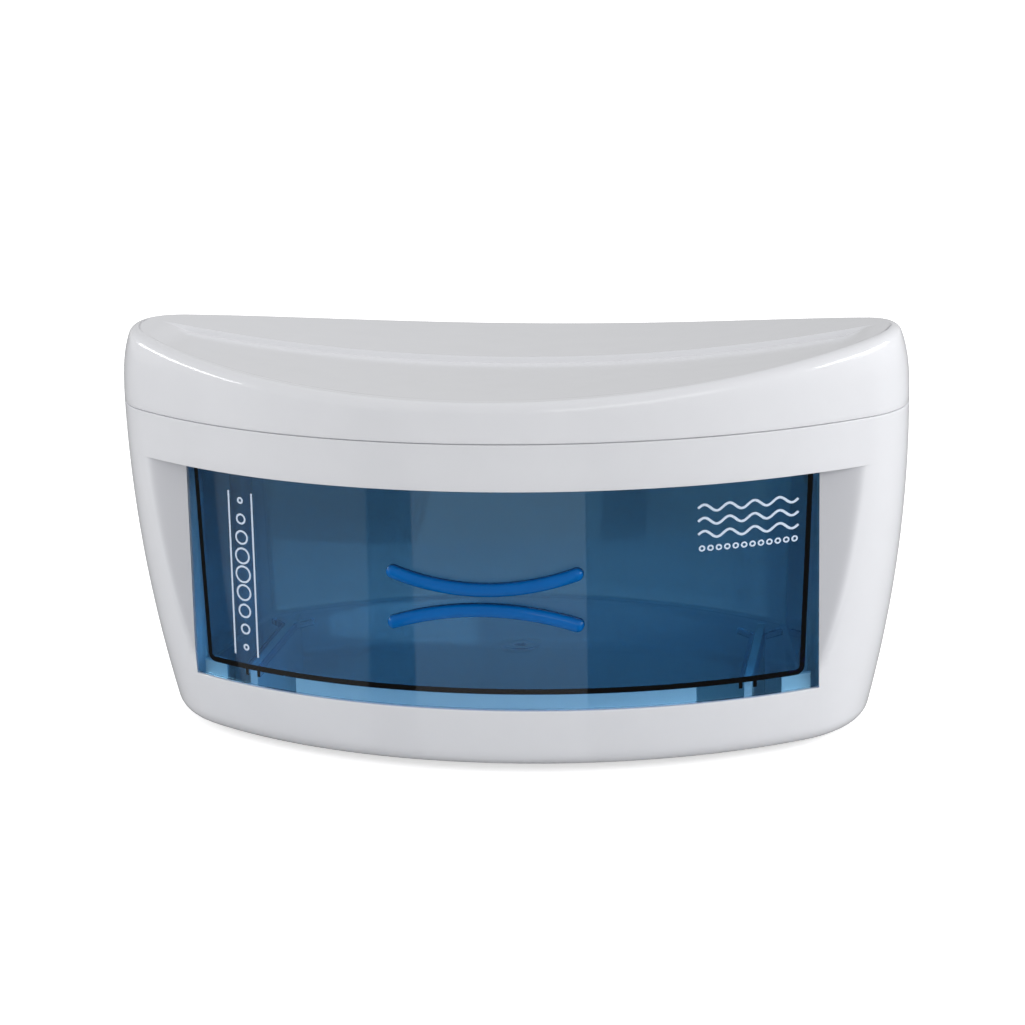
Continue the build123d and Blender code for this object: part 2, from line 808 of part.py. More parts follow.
def interlock_bracket():
    """Plate that hangs the interlock switch under the deck."""
    low, high = micro_box()
    length, depth, thick = bracket_size
    middle = (low[1] + high[1]) / 2
    plate = block(
        (-length / 2, middle - depth / 2, high[2]),
        (length / 2, middle + depth / 2, high[2] + thick),
    )
    return fillet(plate.edges().filter_by(Axis.Z), thick)


def interlock_switch():
    """Sealed switch body with plunger and the ears that hold the lever's pin."""
    low, high = micro_box()
    body = block(low, high)
    body = fillet(body.edges().filter_by(Axis.Z), lever_wall)
    pin_y = lever_y() + lever_eye
    centre = lever_centre()
    reach = lever_height / 2 + ear_gap
    for side in (-1, 1):
        inner, outer = centre + side * reach, centre + side * (reach + ear_wall)
        body += block(
            (lever_pin_x - lever_eye, pin_y - lever_eye / 2, min(inner, outer)),
            (lever_pin_x + lever_eye, low[1] + 1, max(inner, outer)),
        )
    ends = reach + ear_wall
    pin = (lever_pin_x, pin_y, centre - ends), (lever_pin_x, pin_y, centre + ends)
    body += bar(lever_pin_radius, *pin)
    plunger_end = lever_y() + lever_wall + lever_gap
    return body + bar(plunger_radius, (0, plunger_end, centre), (0, low[1] + 1, centre))


def interlock_lever():
    """Spring lever that the closed drawer holds in; it swings out when the drawer leaves."""
    centre = lever_centre()
    front = lever_y()
    low, high = centre - lever_height / 2, centre + lever_height / 2
    blade = block((lever_pin_x, front, low), (lever_tip, front + lever_wall, high))
    pin_y = front + lever_eye
    eye = column(lever_eye, lever_pin_x, pin_y, low, high)
    hole = column(lever_pin_radius + lever_pin_play, lever_pin_x, pin_y, low - 1, high + 1)
    return blade + eye - hole


# ---------------------------------------------------------------- ballast, starter, terminals
def on_deck(x, y):
    """Corner helper: a place on top of the deck."""
    return Vector(x, y, base_z + deck_top)


def ballast_frame():
    """Folded steel base with a mounting ear at each end."""
    place = on_deck(*ballast_at)
    length, width, thick = ballast_base
    base = Pos(place) * Box(length, width, thick, align=(Align.CENTER, Align.CENTER, Align.MIN))
    base = fillet(base.edges().filter_by(Axis.Z), ballast_hole_radius)
    for side in (-1, 1):
        x = place.X + side * (length - width / 2) / 2
        base -= column(ballast_hole_radius, x, place.Y, place.Z - 1, place.Z + 2)
    return base


def ballast_core():
    """Stack of laminations with a coil end at each side."""
    place = on_deck(*ballast_at)
    seat = place.Z + ballast_base[2]
    stand = (Align.CENTER, Align.CENTER, Align.MIN)
    length, width, height = ballast_core_size
    core = Pos(place.X, place.Y, seat) * Box(length, width, height, align=stand)
    return chamfer(core.edges().filter_by(Axis.X), ballast_base[2])


def ballast_coil_end(side):
    """Wound end of the coil that stands out of the laminations."""
    place = on_deck(*ballast_at)
    length, width, height = ballast_coil
    seat = place.Z + ballast_base[2] + (ballast_core_size[2] - height) / 2
    x = place.X + side * (ballast_core_size[0] + length) / 2
    stand = (Align.CENTER, Align.CENTER, Align.MIN)
    coil = Pos(x, place.Y, seat) * Box(length, width, height, align=stand)
    outer = coil.faces().sort_by(Axis.X)[-1 if side > 0 else 0].edges()
    return fillet(outer, length / 4)


def starter_axis():
    """Height of the starter's axis above the base."""
    return base_z + deck_top + starter_radius + starter_lift


def starter_socket():
    """Upright socket on the deck that the starter's pins hold in."""
    x, y = starter_at
    length, width, height = socket_size
    low = base_z + deck_top
    body = block((x - length, y - width / 2, low), (x, y + width / 2, low + height))
    body = fillet(body.edges().filter_by(Axis.X).group_by(Axis.Z)[-1], socket_size[0] / 2)
    radius, pin = starter_pin
    for side in (-1, 1):
        hole_y = y + side * starter_pin_spacing / 2
        z = starter_axis()
        body -= bar(radius + socket_slot, (x - pin - 1, hole_y, z), (x + 1, hole_y, z))
    return body


def starter():
    """Starter can lying on the deck, pins in its socket."""
    x, y = starter_at
    z = starter_axis()
    near = x + ear_gap
    can = bar(starter_radius, (near, y, z), (near + starter_length, y, z))
    can = fillet(can.faces().sort_by(Axis.X)[-1].edges(), starter_cap / 2)
    radius, pin = starter_pin
    for side in (-1, 1):
        pin_y = y + side * starter_pin_spacing / 2
        can += bar(radius, (near - pin, pin_y, z), (near + 1, pin_y, z))
    return can


def terminal_block():
    """Three-pole screw terminal: a tube hole and a screw hole for each pole."""
    x, y = terminal_at
    length, width, height = terminal_size
    low = base_z + deck_top
    body = block((x - length / 2, y - width / 2, low), (x + length / 2, y + width / 2, low + height))
    body = chamfer(body.edges().filter_by(Axis.X).group_by(Axis.Z)[-1], width / 6)
    for pole in terminal_places():
        z = low + height / 2
        body -= bar(terminal_tube_radius, (pole, y - width, z), (pole, y + width, z))
        body -= column(terminal_screw_radius, pole, y, z, low + height + 1)
    return body


def terminal_places():
    """Middle of each pole across the terminal block."""
    pitch = terminal_size[0] / terminal_poles
    return [terminal_at[0] + pitch * (i - (terminal_poles - 1) / 2) for i in range(terminal_poles)]


# ---------------------------------------------------------------- write every piece
pieces = {
    "lower_case": lower_case(),
    "top_cover": top_cover(),
    "drawer": drawer(),
    "lamp_deck": lamp_deck(),
    "lamp_reflector": lamp_reflector(),
    "lamp_tube": lamp_tube(),
    "power_switch": power_switch(),
    "power_rocker": power_rocker(),
    "cord_gland": cord_gland(),
    "interlock_bracket": interlock_bracket(),
    "interlock_switch": interlock_switch(),
    "interlock_lever": interlock_lever(),
    "ballast_frame": ballast_frame(),
    "ballast_core": ballast_core(),
    "starter_socket": starter_socket(),
    "starter": starter(),
    "terminal_block": terminal_block(),
}
for name, side in (("left", -1), ("right", 1)):
    pieces["lamp_cap_" + name] = lamp_cap_piece(side)
    pieces["lampholder_" + name] = lampholder(side)
    pieces["ballast_coil_" + name] = ballast_coil_end(side)
foot_names = ["front_left", "front_right", "back_left", "back_right"]
for name, (x, y) in zip(foot_names, feet_places()):
    pieces["foot_" + name] = foot(x, y)
pieces["case_screws"] = Compound(children=[case_screw(x, y) for x, y in both_sides(post_back)])
pieces["deck_screws"] = Compound(children=[deck_screw(x, y) for x, y in both_sides(post_front)])

for name, shape in pieces.items():
    export_step(shape, "parts/" + name + ".step")
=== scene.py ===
# %% [markdown]
# # A white cabinet with a clear blue drawer
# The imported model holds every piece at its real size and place, and this script gives them their looks.
# The small inner pieces keep their own shapes. The three glossy mouldings are drawn again as smooth
# surfaces, because a reflection shows every facet of a coarse mesh.

import math

import bmesh
import bpy
import numpy as np
from mathutils import Matrix, Vector


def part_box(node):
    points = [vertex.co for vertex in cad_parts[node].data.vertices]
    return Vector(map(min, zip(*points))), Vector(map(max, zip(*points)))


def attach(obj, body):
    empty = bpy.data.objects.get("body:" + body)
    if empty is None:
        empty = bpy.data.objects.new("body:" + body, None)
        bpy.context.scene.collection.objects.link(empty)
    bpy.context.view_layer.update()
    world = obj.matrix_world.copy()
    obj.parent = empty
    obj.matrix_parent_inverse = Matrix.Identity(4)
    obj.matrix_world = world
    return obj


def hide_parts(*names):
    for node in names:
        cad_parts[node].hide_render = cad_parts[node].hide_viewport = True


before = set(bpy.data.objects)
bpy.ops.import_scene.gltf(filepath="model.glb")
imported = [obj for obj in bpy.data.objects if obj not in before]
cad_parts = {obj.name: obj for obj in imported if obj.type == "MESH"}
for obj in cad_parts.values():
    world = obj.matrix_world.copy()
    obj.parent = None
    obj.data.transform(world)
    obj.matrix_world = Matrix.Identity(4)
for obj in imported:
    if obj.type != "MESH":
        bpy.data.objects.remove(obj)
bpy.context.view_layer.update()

# %% [markdown]
# ## Sizes
# Lengths are in millimetres while a shape is worked out, and become metres when its mesh is made. What
# the frame can tell is read from it. The rest are the moulded case's own sizes.

# %% Sizes read from the frame
MM = 0.001


def node_box(node):
    """Lowest and highest corner of a node, in millimetres."""
    low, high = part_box(node)
    return np.array(low) / MM, np.array(high) / MM


case_low, case_high = node_box("lower_case")
tongue_height = 3.0
base_z = case_low[2]
case_width = case_high[0] - case_low[0]
case_depth = case_high[1] - case_low[1]
case_height = case_high[2] - base_z - tongue_height
print("case", case_width, case_depth, case_height, "standing at", base_z)

# %% Sizes of the case
end_radius = 53.0
end_radius_gain = 5.0
side_taper = 20.0
side_barrel = 2.0
front_lean = 19.0
front_barrel = 0.85
back_lean = 6.0
base_round = 8.0
wall = 2.5
seam_gap = 0.4
edge_soft = 0.4           # how far a moulded edge is eased
tongue_wall = 1.2
tongue_fit = 0.2

window_bottom = 27.8
window_top = case_height - 22.0
window_half = 146.3
land_lead = 3.2           # flat lands beside the window, in front of the panel's side edge
land_turn = math.radians(13.0)
land_soft = 1.7           # how far the land's outer bend is eased at the window's top
panel_inset = 1.0
panel_gap = 0.35
panel_wall = 3.0

pocket_half = 42.0
pocket_top = case_height - 1.5
pocket_bottom = pocket_top - 13.5
pocket_y = case_depth / 2 - 4.6

# %% [markdown]
# ## Turning grids into meshes
# Every moulding is a set of patches: grids of points, rows by columns, worked out as whole arrays.
# Patches that share an edge have the same points there, so merging doubles sews them together. What is
# the same on both sides is worked out for the right half and mirrored.

# %% Patches to mesh
CREASE = math.radians(32)
SEW = 0.002 * MM


def grid_cells(rows, columns, closed):
    """Corner numbers of each cell; closed joins the last column to the first."""
    number = np.arange(rows * columns).reshape(rows, columns)
    if closed:
        number = np.hstack([number, number[:, :1]])
    corners = [number[:-1, :-1], number[:-1, 1:], number[1:, 1:], number[1:, :-1]]
    return np.stack(corners, axis=-1).reshape(-1, 4)


def weld(mesh, sliver):
    """The mesh as a bmesh without doubles and slivers; the mesh itself goes."""
    shape = bmesh.new()
    shape.from_mesh(mesh)
    bpy.data.meshes.remove(mesh)
    bmesh.ops.remove_doubles(shape, verts=shape.verts, dist=SEW)
    bmesh.ops.dissolve_degenerate(shape, edges=shape.edges, dist=sliver)
    return shape


def sew(patches):
    """patches are (grid, closed, mirrored). Welds them, fills flat ends and turns faces outwards."""
    points, cells, count = [], [], 0
    for grid, closed, mirrored in patches:
        for side in (1, -1) if mirrored else (1,):
            points.append(grid.reshape(-1, 3) * (side, 1, 1))
            cells.append(grid_cells(*grid.shape[:2], closed)[:, ::side] + count)
            count += len(points[-1])
    mesh = bpy.data.meshes.new("patches")
    mesh.from_pydata(np.vstack(points) * MM, [], np.vstack(cells).tolist())
    shape = weld(mesh, SEW / 2)
    open_edges = [edge for edge in shape.edges if edge.is_boundary]
    bmesh.ops.holes_fill(shape, edges=open_edges, sides=0)
    bmesh.ops.recalc_face_normals(shape, faces=shape.faces)
    return shape


def add_object(name, data):
    """A new object in the scene that holds the data."""
    made = bpy.data.objects.new(name, data)
    bpy.context.scene.collection.objects.link(made)
    return made


def show(name, shape):
    """A smooth shaded object from a bmesh, sharp where faces meet at more than CREASE."""
    left_open = sum(edge.is_boundary for edge in shape.edges)
    mesh = bpy.data.meshes.new(name)
    shape.to_mesh(mesh)
    shape.free()
    print(name, len(mesh.polygons), "faces,", left_open, "open edges")
    mesh.shade_smooth()
    mesh.set_sharp_from_angle(angle=CREASE)
    return add_object(name, mesh)


def make_piece(name, patches):
    return show(name, sew(patches))


def steps(count):
    """Even steps up to 1, without the 0 that the row before them holds."""
    return np.linspace(0, 1, count + 1)[1:]


def smooth(t):
    """0 below 0, 1 above 1, and an even roll between."""
    t = np.clip(t, 0, 1)
    return t * t * (3 - 2 * t)


def stack(x, y, z):
    """One grid of points from its coordinates."""
    return np.stack(np.broadcast_arrays(x, y, z), axis=-1).astype(float)


def across(*lines):
    """A strip between lines of points."""
    return np.stack(lines)


def arc(centre_x, centre_y, radius, turn):
    return centre_x + radius * np.cos(turn), centre_y + radius * np.sin(turn)


# %% [markdown]
# ## The lens outline
# Seen from above the case is a lens: a wide bow in front, one behind, and a small round end on each side
# that meets both bows without a corner. A place on its right half is a number: 0 to 1 along the front
# bow, 1 to 2 round the end, 2 to 3 along the back. The same number has the same outward direction on
# every inset copy of the outline, which keeps walls even and fillets square.

# %% Lens outline
def case_plan(level, inset=0.0):
    """Half width, front, back and end radius: the ends draw in with a power of the depth below the seam."""
    down = np.maximum(0, (case_height - level) / case_height)
    half_width = case_width / 2 - side_taper * down**side_barrel - inset
    front = -case_depth / 2 + front_lean * down**front_barrel + inset
    back = case_depth / 2 - back_lean * down - inset
    return half_width, front, back, end_radius + end_radius_gain * down - inset


def lens_bow(plan):
    """Bow radius R = ((a-r)^2 + d^2 - r^2) / 2(d-r), and the bow's half angle."""
    half_width, front, back, end = plan
    half_depth = (back - front) / 2
    bow = ((half_width - end) ** 2 + half_depth**2 - end**2) / (2 * (half_depth - end))
    return bow, np.arcsin((half_width - end) / (bow - end))


def lens_turn(place, plan):
    """How far the outward direction has turned from straight ahead, 0 in front to pi behind."""
    angle = lens_bow(plan)[1]
    in_front = place * angle
    at_end = angle + (place - 1) * (np.pi - 2 * angle)
    behind = np.pi - (3 - place) * angle
    return np.where(place < 1, in_front, np.where(place < 2, at_end, behind))


def lens_point(place, plan):
    """x and y at a place on the outline: arc centre plus radius times outward direction."""
    half_width, front, back, end = plan
    bow = lens_bow(plan)[0]
    turn = lens_turn(place, plan)
    on_end = (place >= 1) & (place < 2)
    radius = np.where(on_end, end, bow)
    centre_y = np.where(place < 1, front + bow, np.where(on_end, (front + back) / 2, back - bow))
    x = np.where(on_end, half_width - end, 0) + radius * np.sin(turn)
    return x, centre_y - radius * np.cos(turn)


def place_at(x, plan):
    """The place in front where the outline is at x."""
    half_width, front, back, end = plan
    bow, angle = lens_bow(plan)
    turn = np.arcsin(np.clip(x / bow, 0, 1))
    end_turn = np.arcsin(np.clip((x - half_width + end) / end, -1, 1))
    past = 1 + (end_turn - angle) / (np.pi - 2 * angle)
    return np.where(x < bow * np.sin(angle), turn / angle, past)


print("bow radius and angle at the seam", lens_bow(case_plan(case_height)))

# %% [markdown]
# ## The lower case
# The real case is one moulding with an even wall: a bowed outside, a recess whose back is a standing
# cylinder, two flat lands beside it that fade into the barrelled ends, and a flat pocket let into the
# back. Booleans would leave long thin faces that spoil the gloss, so the outside is one sheet over
# (place round the outline, level). Where a land lies deeper than the bowed skin the sheet follows the
# land, and a soft maximum of the two rounds the bend between them, which the grid lines follow. The
# inside is the same sheet, one wall further in.

# %% Panel cylinder and recess edge
case_at_sill = case_plan(window_bottom)
panel_radius = float(lens_bow(case_at_sill)[0])
panel_centre = float(case_at_sill[1]) + panel_inset + panel_radius


def panel_y(x, depth=0.0):
    """Front of the standing cylinder behind the recess, set back by depth."""
    return panel_centre - np.sqrt((panel_radius - depth) ** 2 - x**2)


def land_y(x, inset=0.0):
    """The flat land beside the window, turned away from it, and set back by a wall for the inside."""
    start = float(panel_y(window_half)) - land_lead + inset / math.cos(land_turn)
    return start + (x - window_half) * math.tan(land_turn)


def skin_y(x, plan):
    """Front of the bowed outline at x."""
    return lens_point(place_at(x, plan), plan)[1]


def land_bend(plan, inset):
    """Where the land meets the bowed skin, by halving the stretch that holds it at each level."""
    low, high = window_half + 0 * plan[0], plan[0] - end_radius / 4
    for _ in range(30):
        middle = (low + high) / 2
        before = skin_y(middle, plan) < land_y(middle, inset)
        low, high = np.where(before, middle, low), np.where(before, high, middle)
    return low


# %% Rows of the case's sheets
WINDOW_COLUMNS = 44
below_window = np.array([[0.3, 0.1, 0.02, 0.0], [0.04, 0.25, 0.6, 1.0]])    # distances, shares of the recess
above_window = np.array([[0.02, 0.1, 0.3, 0.7], [0.1, 0.04, 0.01, 0.0]])
above_pocket = np.array([[0.0, 0.05, 0.3], [1.0, 0.06, 0.0]])
outer_jamb, inner_jamb = np.array([0.1, 0.3]), np.array([0.5, 1.0, 1.02])    # distances, shares of the wall


def case_rows(inset):
    """Level, edge inset, recess mask and pocket mask of each row, and the rows where the window lies."""
    radius = base_round - inset
    turn = np.linspace(0, np.pi / 2, 8)
    low, high = window_bottom - inset, window_top + inset
    shelf, lid = pocket_bottom - inset, pocket_top + inset
    parts = [
        (inset + radius * (1 - np.cos(turn)), radius * (1 - np.sin(turn)), 0, 0),
        (np.linspace(base_round, low - 0.6, 8)[1:], 0, 0, 0),
        (low - below_window[0], 0, below_window[1], 0),
    ]
    if inset:
        parts.append((np.array([window_bottom]), 0, 1, 0))
    start = sum(len(part[0]) for part in parts) - 1
    window = np.linspace(window_bottom, window_top, 38)[1:]
    parts.append((window, 0, 1, 0))
    if inset:
        parts.append((np.array([high]), 0, 1, 0))
    parts += [
        (high + above_window[0], 0, above_window[1], 0),
        (np.array([shelf - 0.25, shelf - 0.05]), 0, 0, np.array([0.0, 0.06])),
        (np.linspace(shelf, min(lid, case_height) - edge_soft, 7), 0, 0, 1),
    ]
    if inset:
        parts.append((np.array([case_height]), 0, 0, 1))
    else:
        parts.append((lid + above_pocket[0], 0, 0, above_pocket[1]))
        ease = edge_soft * np.array([1.0, 0.3, 0.0])
        parts.append((case_height - ease, ease[::-1], 0, 0))
    table = [np.vstack(np.broadcast_arrays(*part)) for part in parts]
    level, edge, recess, pocket = np.hstack(table)[:, :, None]
    return level, edge, recess, pocket, (start, start + len(window))


# %% The sheet itself
def case_sheet(inset):
    """Grid of one skin of the case. Columns run from the middle of the front to the middle of the back."""
    level, edge, recess, pocket, window_rows = case_rows(inset)
    plan = case_plan(level, inset + edge)
    ease = 0.1 + land_soft * np.clip((level - window_bottom) / (window_top - window_bottom), 0, 1)
    over_window = window_half * np.linspace(0, 1, WINDOW_COLUMNS + 1) + 0 * level
    jamb = window_half + (inset * inner_jamb if inset else outer_jamb) + 0 * level
    bend = np.maximum(land_bend(plan, inset), jamb[:, -1:] + 0.6)
    soft = np.minimum(3.2 * ease, 0.9 * (bend - jamb[:, -1:]))
    to_bend = jamb[:, -1:] + (bend - soft - jamb[:, -1:]) * steps(9 - jamb.shape[1])
    over_bend = bend - soft + 2 * soft * steps(14)
    in_front = np.hstack([over_window, jamb, to_bend, over_bend])
    front_place = place_at(in_front, plan)
    bow, angle = lens_bow(plan)
    to_pocket = 3 - np.arcsin((pocket_half + inset + 0.5) / bow) / angle
    at_pocket = 3 - np.arcsin((pocket_half + inset - 0.1) / bow) / angle
    last = front_place[:, -1:]
    around = last + (to_pocket - last) * steps(70)
    over_step = to_pocket + (at_pocket - to_pocket) * steps(4)
    behind = at_pocket + (3 - at_pocket) * steps(14)
    x, y = lens_point(np.hstack([front_place, around, over_step, behind]), plan)
    count = in_front.shape[1]
    x[:, :count] = in_front
    skin, land = y[:, :count], land_y(in_front, inset)
    target = (skin + land + np.sqrt((skin - land) ** 2 + ease**2)) / 2
    through = WINDOW_COLUMNS + 2 if inset else WINDOW_COLUMNS - 1
    target[:, : through + 1] = panel_y(in_front[:, : through + 1], inset)
    y[:, :count] += (target - skin) * recess
    fall = np.hstack([smooth(steps(4)), np.ones(behind.shape[1])]) * pocket
    tail = fall.shape[1]
    y[:, -tail:] += (pocket_y - inset - y[:, -tail:]) * fall
    return stack(x, y, base_z + level), window_rows


outside, outside_window = case_sheet(0.0)
inside, inside_window = case_sheet(wall)
print("case sheets", outside.shape, inside.shape, outside_window, inside_window)

# %% [markdown]
# ### Leaving the window open
# The window is a block of cells that is left out of both sheets. Strips across the wall join their edges,
# and another strip closes the wall at the seam, so that the case is one closed skin.

# %% Case patches
def around_window(sheet, rows):
    """The sheet without the window's cells, as three patches."""
    low, high = rows
    return [sheet[: low + 1], sheet[low : high + 1, WINDOW_COLUMNS:], sheet[high:]]


def case_skin():
    """Both sheets and the strips through the wall round the window and along the seam."""
    (low, high), (inner_low, inner_high) = outside_window, inside_window
    over = slice(0, WINDOW_COLUMNS + 1)
    beside, inner_beside = slice(low, high + 1), slice(inner_low, inner_high + 1)
    strips = [
        across(outside[low, over], inside[inner_low, over]),
        across(outside[high, over], inside[inner_high, over]),
        across(outside[beside, WINDOW_COLUMNS], inside[inner_beside, WINDOW_COLUMNS]),
        across(outside[-1], inside[-1]),
    ]
    sheets = around_window(outside, outside_window) + around_window(inside, inside_window)
    return [(patch, False, True) for patch in sheets + strips]


# %% [markdown]
# ### What the clear drawer lets the eye see
# Inside the case two rails steer the drawer, a shelf behind the sill carries three glide pads, and four
# posts hold the lamp deck. They are closed outlines standing between heights, whose flat ends are filled
# when the patches are sewn. The tongue is a lip that the cover closes over.

# %% Rails, sill, posts and tongue
tub_level = window_bottom + 7.0
glide_top = tub_level - 0.3
tub_back_foot = case_depth / 2 - 28.0
tub_back_bulge = 44.0
tub_corner_y = tub_back_foot - tub_back_bulge
rail_x, rail_width = 114.4, 3.4
pad_setback, pad_wall = 0.7, 2.6
middle_pad, side_pad = 92.0, (129.0, 141.5)
deck_low = node_box("lamp_deck")[0][2]
deck_top = deck_low + 2.0
channel_half = 22.0
post_radius, boss_radius = 5.5, 4.0
front_post = (case_width / 2 - 36.0, -channel_half - 7.0)
back_post = (case_width / 2 - 43.0, channel_half + 12.0)


def prism(outline, low, high):
    """A closed outline of (x, y) points standing between two heights."""
    rows = [np.column_stack([outline, np.full(len(outline), z)]) for z in (low, high)]
    return np.stack(rows)


def round_outline(centre, radius, count=32):
    turn = np.linspace(0, 2 * np.pi, count, endpoint=False)
    return np.column_stack(arc(*centre, radius, turn))


def band_outline(start, end, near, far, count=48):
    """Part of a standing cylinder's wall, between two depths behind the panel's face."""
    x = np.linspace(start, end, count)
    front = np.column_stack([x, panel_y(x, near)])
    return np.vstack([front, np.column_stack([x, panel_y(x, far)])[::-1]])


def tongue():
    """Lip above the seam: four corners of its section, carried round the outline."""
    place = np.linspace(0, 3, 130)
    corners = [(wall - tongue_wall, -1.0), (wall - tongue_wall, tongue_height)]
    corners += [(wall, tongue_height), (wall, -1.0)]
    lines = []
    for inset, rise in corners:
        x, y = lens_point(place, case_plan(case_height, inset))
        lines.append(stack(x, y, base_z + case_height + rise))
    return np.stack(lines, axis=1)


def behind_wall(top):
    """Levels up to top, and the outline of the wall's middle there, drawn in where the base is rounded."""
    level = np.hstack([wall / 2 + np.linspace(0, base_round, 9), top])[:, None]
    radius = base_round - wall / 2
    rounded = radius - np.sqrt(radius**2 - np.clip(base_round - level, 0, None) ** 2)
    return level, case_plan(level, wall / 2 + rounded)


def post_sheet(centre):
    """A round post, pulled in where it would reach past the middle of the wall's round end."""
    level, (half_width, front, back, end) = behind_wall(deck_low - base_z)
    x, y = round_outline(centre, post_radius).T
    out_x, out_y = x - (half_width - end), y - (front + back) / 2
    pull = np.minimum(1, end / np.hypot(out_x, out_y)) - 1
    return stack(x + out_x * pull, y + out_y * pull, base_z + level)


def rail_sheet(start):
    """A rail whose front end stays behind the middle of the wall."""
    level, plan = behind_wall(glide_top)
    inner, outer = rail_x - rail_width / 2, rail_x + rail_width / 2
    front = np.maximum(start, skin_y(outer, plan))
    y = np.where([True, True, False, False], front, tub_corner_y)
    return stack(np.array([inner, outer, outer, inner]), y, base_z + level)


def inner_parts():
    """Shelf, pads, rails and posts as closed prisms, and the tongue."""
    near = panel_wall + pad_setback
    far = near + pad_wall
    shelf_top = base_z + window_bottom - 2 * panel_gap
    shelf_half = window_half - panel_gap
    top = base_z + glide_top
    rail_start = float(panel_y(rail_x + rail_width / 2, near))
    shelf = band_outline(-shelf_half, shelf_half, wall / 2, far, 96)
    parts = [
        (prism(shelf, shelf_top - wall, shelf_top), True, False),
        (prism(band_outline(-middle_pad, middle_pad, near, far, 80), shelf_top - 1, top), True, False),
        (prism(band_outline(*side_pad, near, far, 8), shelf_top - 1, top), True, True),
        (rail_sheet(rail_start), True, True),
        (tongue(), True, True),
    ]
    return parts + [(post_sheet(place), True, True) for place in (front_post, back_post)]


# %% Lower case
case_piece = make_piece("case_moulding", case_skin() + inner_parts())
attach(case_piece, "housing")
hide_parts("lower_case")

# %% [markdown]
# ## The cover
# The cover carries the lens outline on, drawing in towards the rim. Its top is a saddle: a cylinder
# lying from front to back that dips in the middle. A Bevel modifier could round the edge between them,
# but it would follow the mesh's own corners. Here a ball of 5 mm rolls along the edge, touching both
# surfaces from inside, and gives the exact round. The front half of the top is a shallow tray with a
# level front lip. It deepens to a straight step, which runs out before it reaches the rim.

# %% Sizes of the cover
cover_middle = 17.8
saddle_radius = 880.0
cover_reach = 41.0
cover_draw_in = 8.0
cover_barrel = 3.2
rim_round = 5.0
step_depth = 2.5
step_y = 8.0
tray_land = 9.0
tray_corner = 8.0
tray_end = case_width / 2 - tray_land - tray_corner
tray_fade = 15.0
step_start = 0.6                # distance outside the step's foot where the fall begins
step_slope = [                  # distance outside the step's foot and share of the fall
    (0.5, 0.03), (0.1, 0.14), (-0.4, 0.36), (-1.0, 0.64), (-1.5, 0.86), (-1.9, 0.97), (-2.4, 1.0),
]
saddle_axis = base_z + case_height + cover_middle + saddle_radius


def cover_plan(level, inset=0.0):
    """The case's outline above the seam, whose ends curve in towards the rim."""
    up = np.maximum(0, (level - case_height) / cover_reach)
    drawn = cover_draw_in * up**cover_barrel
    half_width = case_width / 2 - drawn - inset
    front = -case_depth / 2 + drawn / 2 + inset
    return half_width, front, -front, end_radius - drawn / 2 - inset


def saddle_z(x, drop=0.0):
    return saddle_axis - np.sqrt((saddle_radius + drop) ** 2 - x**2)


def tray_z(x, y, drop=0.0):
    """The saddle tilted about the tray's front lip, so that it falls to step_depth at the step."""
    pivot_y, pivot_z = -case_depth / 2 + tray_land, base_z + case_height + cover_middle
    tilt = math.atan(step_depth / (step_y - pivot_y))
    return pivot_z - (y - pivot_y) * math.tan(tilt) + (saddle_z(x, drop) - pivot_z) / math.cos(tilt)


def tray_fall(x, y, drop=0.0):
    """How far the tray lies under the saddle: the least of 0 and their gap, faded out near the two ends."""
    return np.minimum(0, tray_z(x, y, drop) - saddle_z(x, drop)) * smooth((tray_end - np.abs(x)) / tray_fade)


# %% The ball that rolls round the rim
def rolling_ball(place):
    """Ball centre, side normal, top normal and side contact level, by repeated correction of the level."""
    level = np.full_like(place, case_height + cover_middle)
    probe = 0.25
    for _ in range(30):
        plan = cover_plan(level)
        x, y = lens_point(place, plan)
        turn = lens_turn(place, plan)
        out = np.stack([np.sin(turn), -np.cos(turn)])
        above = np.stack(lens_point(place, cover_plan(level + probe)))
        below = np.stack(lens_point(place, cover_plan(level - probe)))
        lean = np.arctan(-((above - below) * out).sum(axis=0) / (2 * probe))
        side = np.stack([out[0] * np.cos(lean), out[1] * np.cos(lean), np.sin(lean)], axis=-1)
        centre = stack(x, y, base_z + level) - rim_round * side
        level = level + saddle_z(centre[:, 0], rim_round) - centre[:, 2]
    rise = np.sqrt((saddle_radius + rim_round) ** 2 - centre[:, 0] ** 2)
    top = stack(-centre[:, 0], 0, rise) / (saddle_radius + rim_round)
    return centre, side, top, level


# %% Places round the rim and round the tray
TRAY_FRONT, TRAY_HALF_CORNER = 64, 7
rim_place = np.hstack([
    np.linspace(0, 1.5, TRAY_FRONT),
    np.linspace(1.5, 1.72, 2 * TRAY_HALF_CORNER + 1)[1:],
    np.linspace(1.72, 3, TRAY_FRONT)[1:],
])
ball, side_normal, top_normal, rim_level = rolling_ball(rim_place)
print("rim contact levels", rim_level.min(), rim_level.max())


def tray_loop(grow):
    """Half of the tray's outline in plan: front bow and end, a round corner, and the straight step."""
    x, y = lens_point(np.linspace(0, 1.5, TRAY_FRONT), cover_plan(case_height, tray_land - grow))
    corner_x = x[-1] - tray_corner - grow
    turn = np.linspace(0, np.pi / 2, 2 * TRAY_HALF_CORNER + 1)[1:]
    radius = tray_corner + grow
    corner = arc(corner_x, 0, radius, turn)
    step_x = corner_x * np.linspace(1, 0, TRAY_FRONT)[1:]
    return (
        np.hstack([x, corner[0], step_x]),
        np.hstack([y, corner[1], np.full(len(step_x), step_y + grow)]),
    )


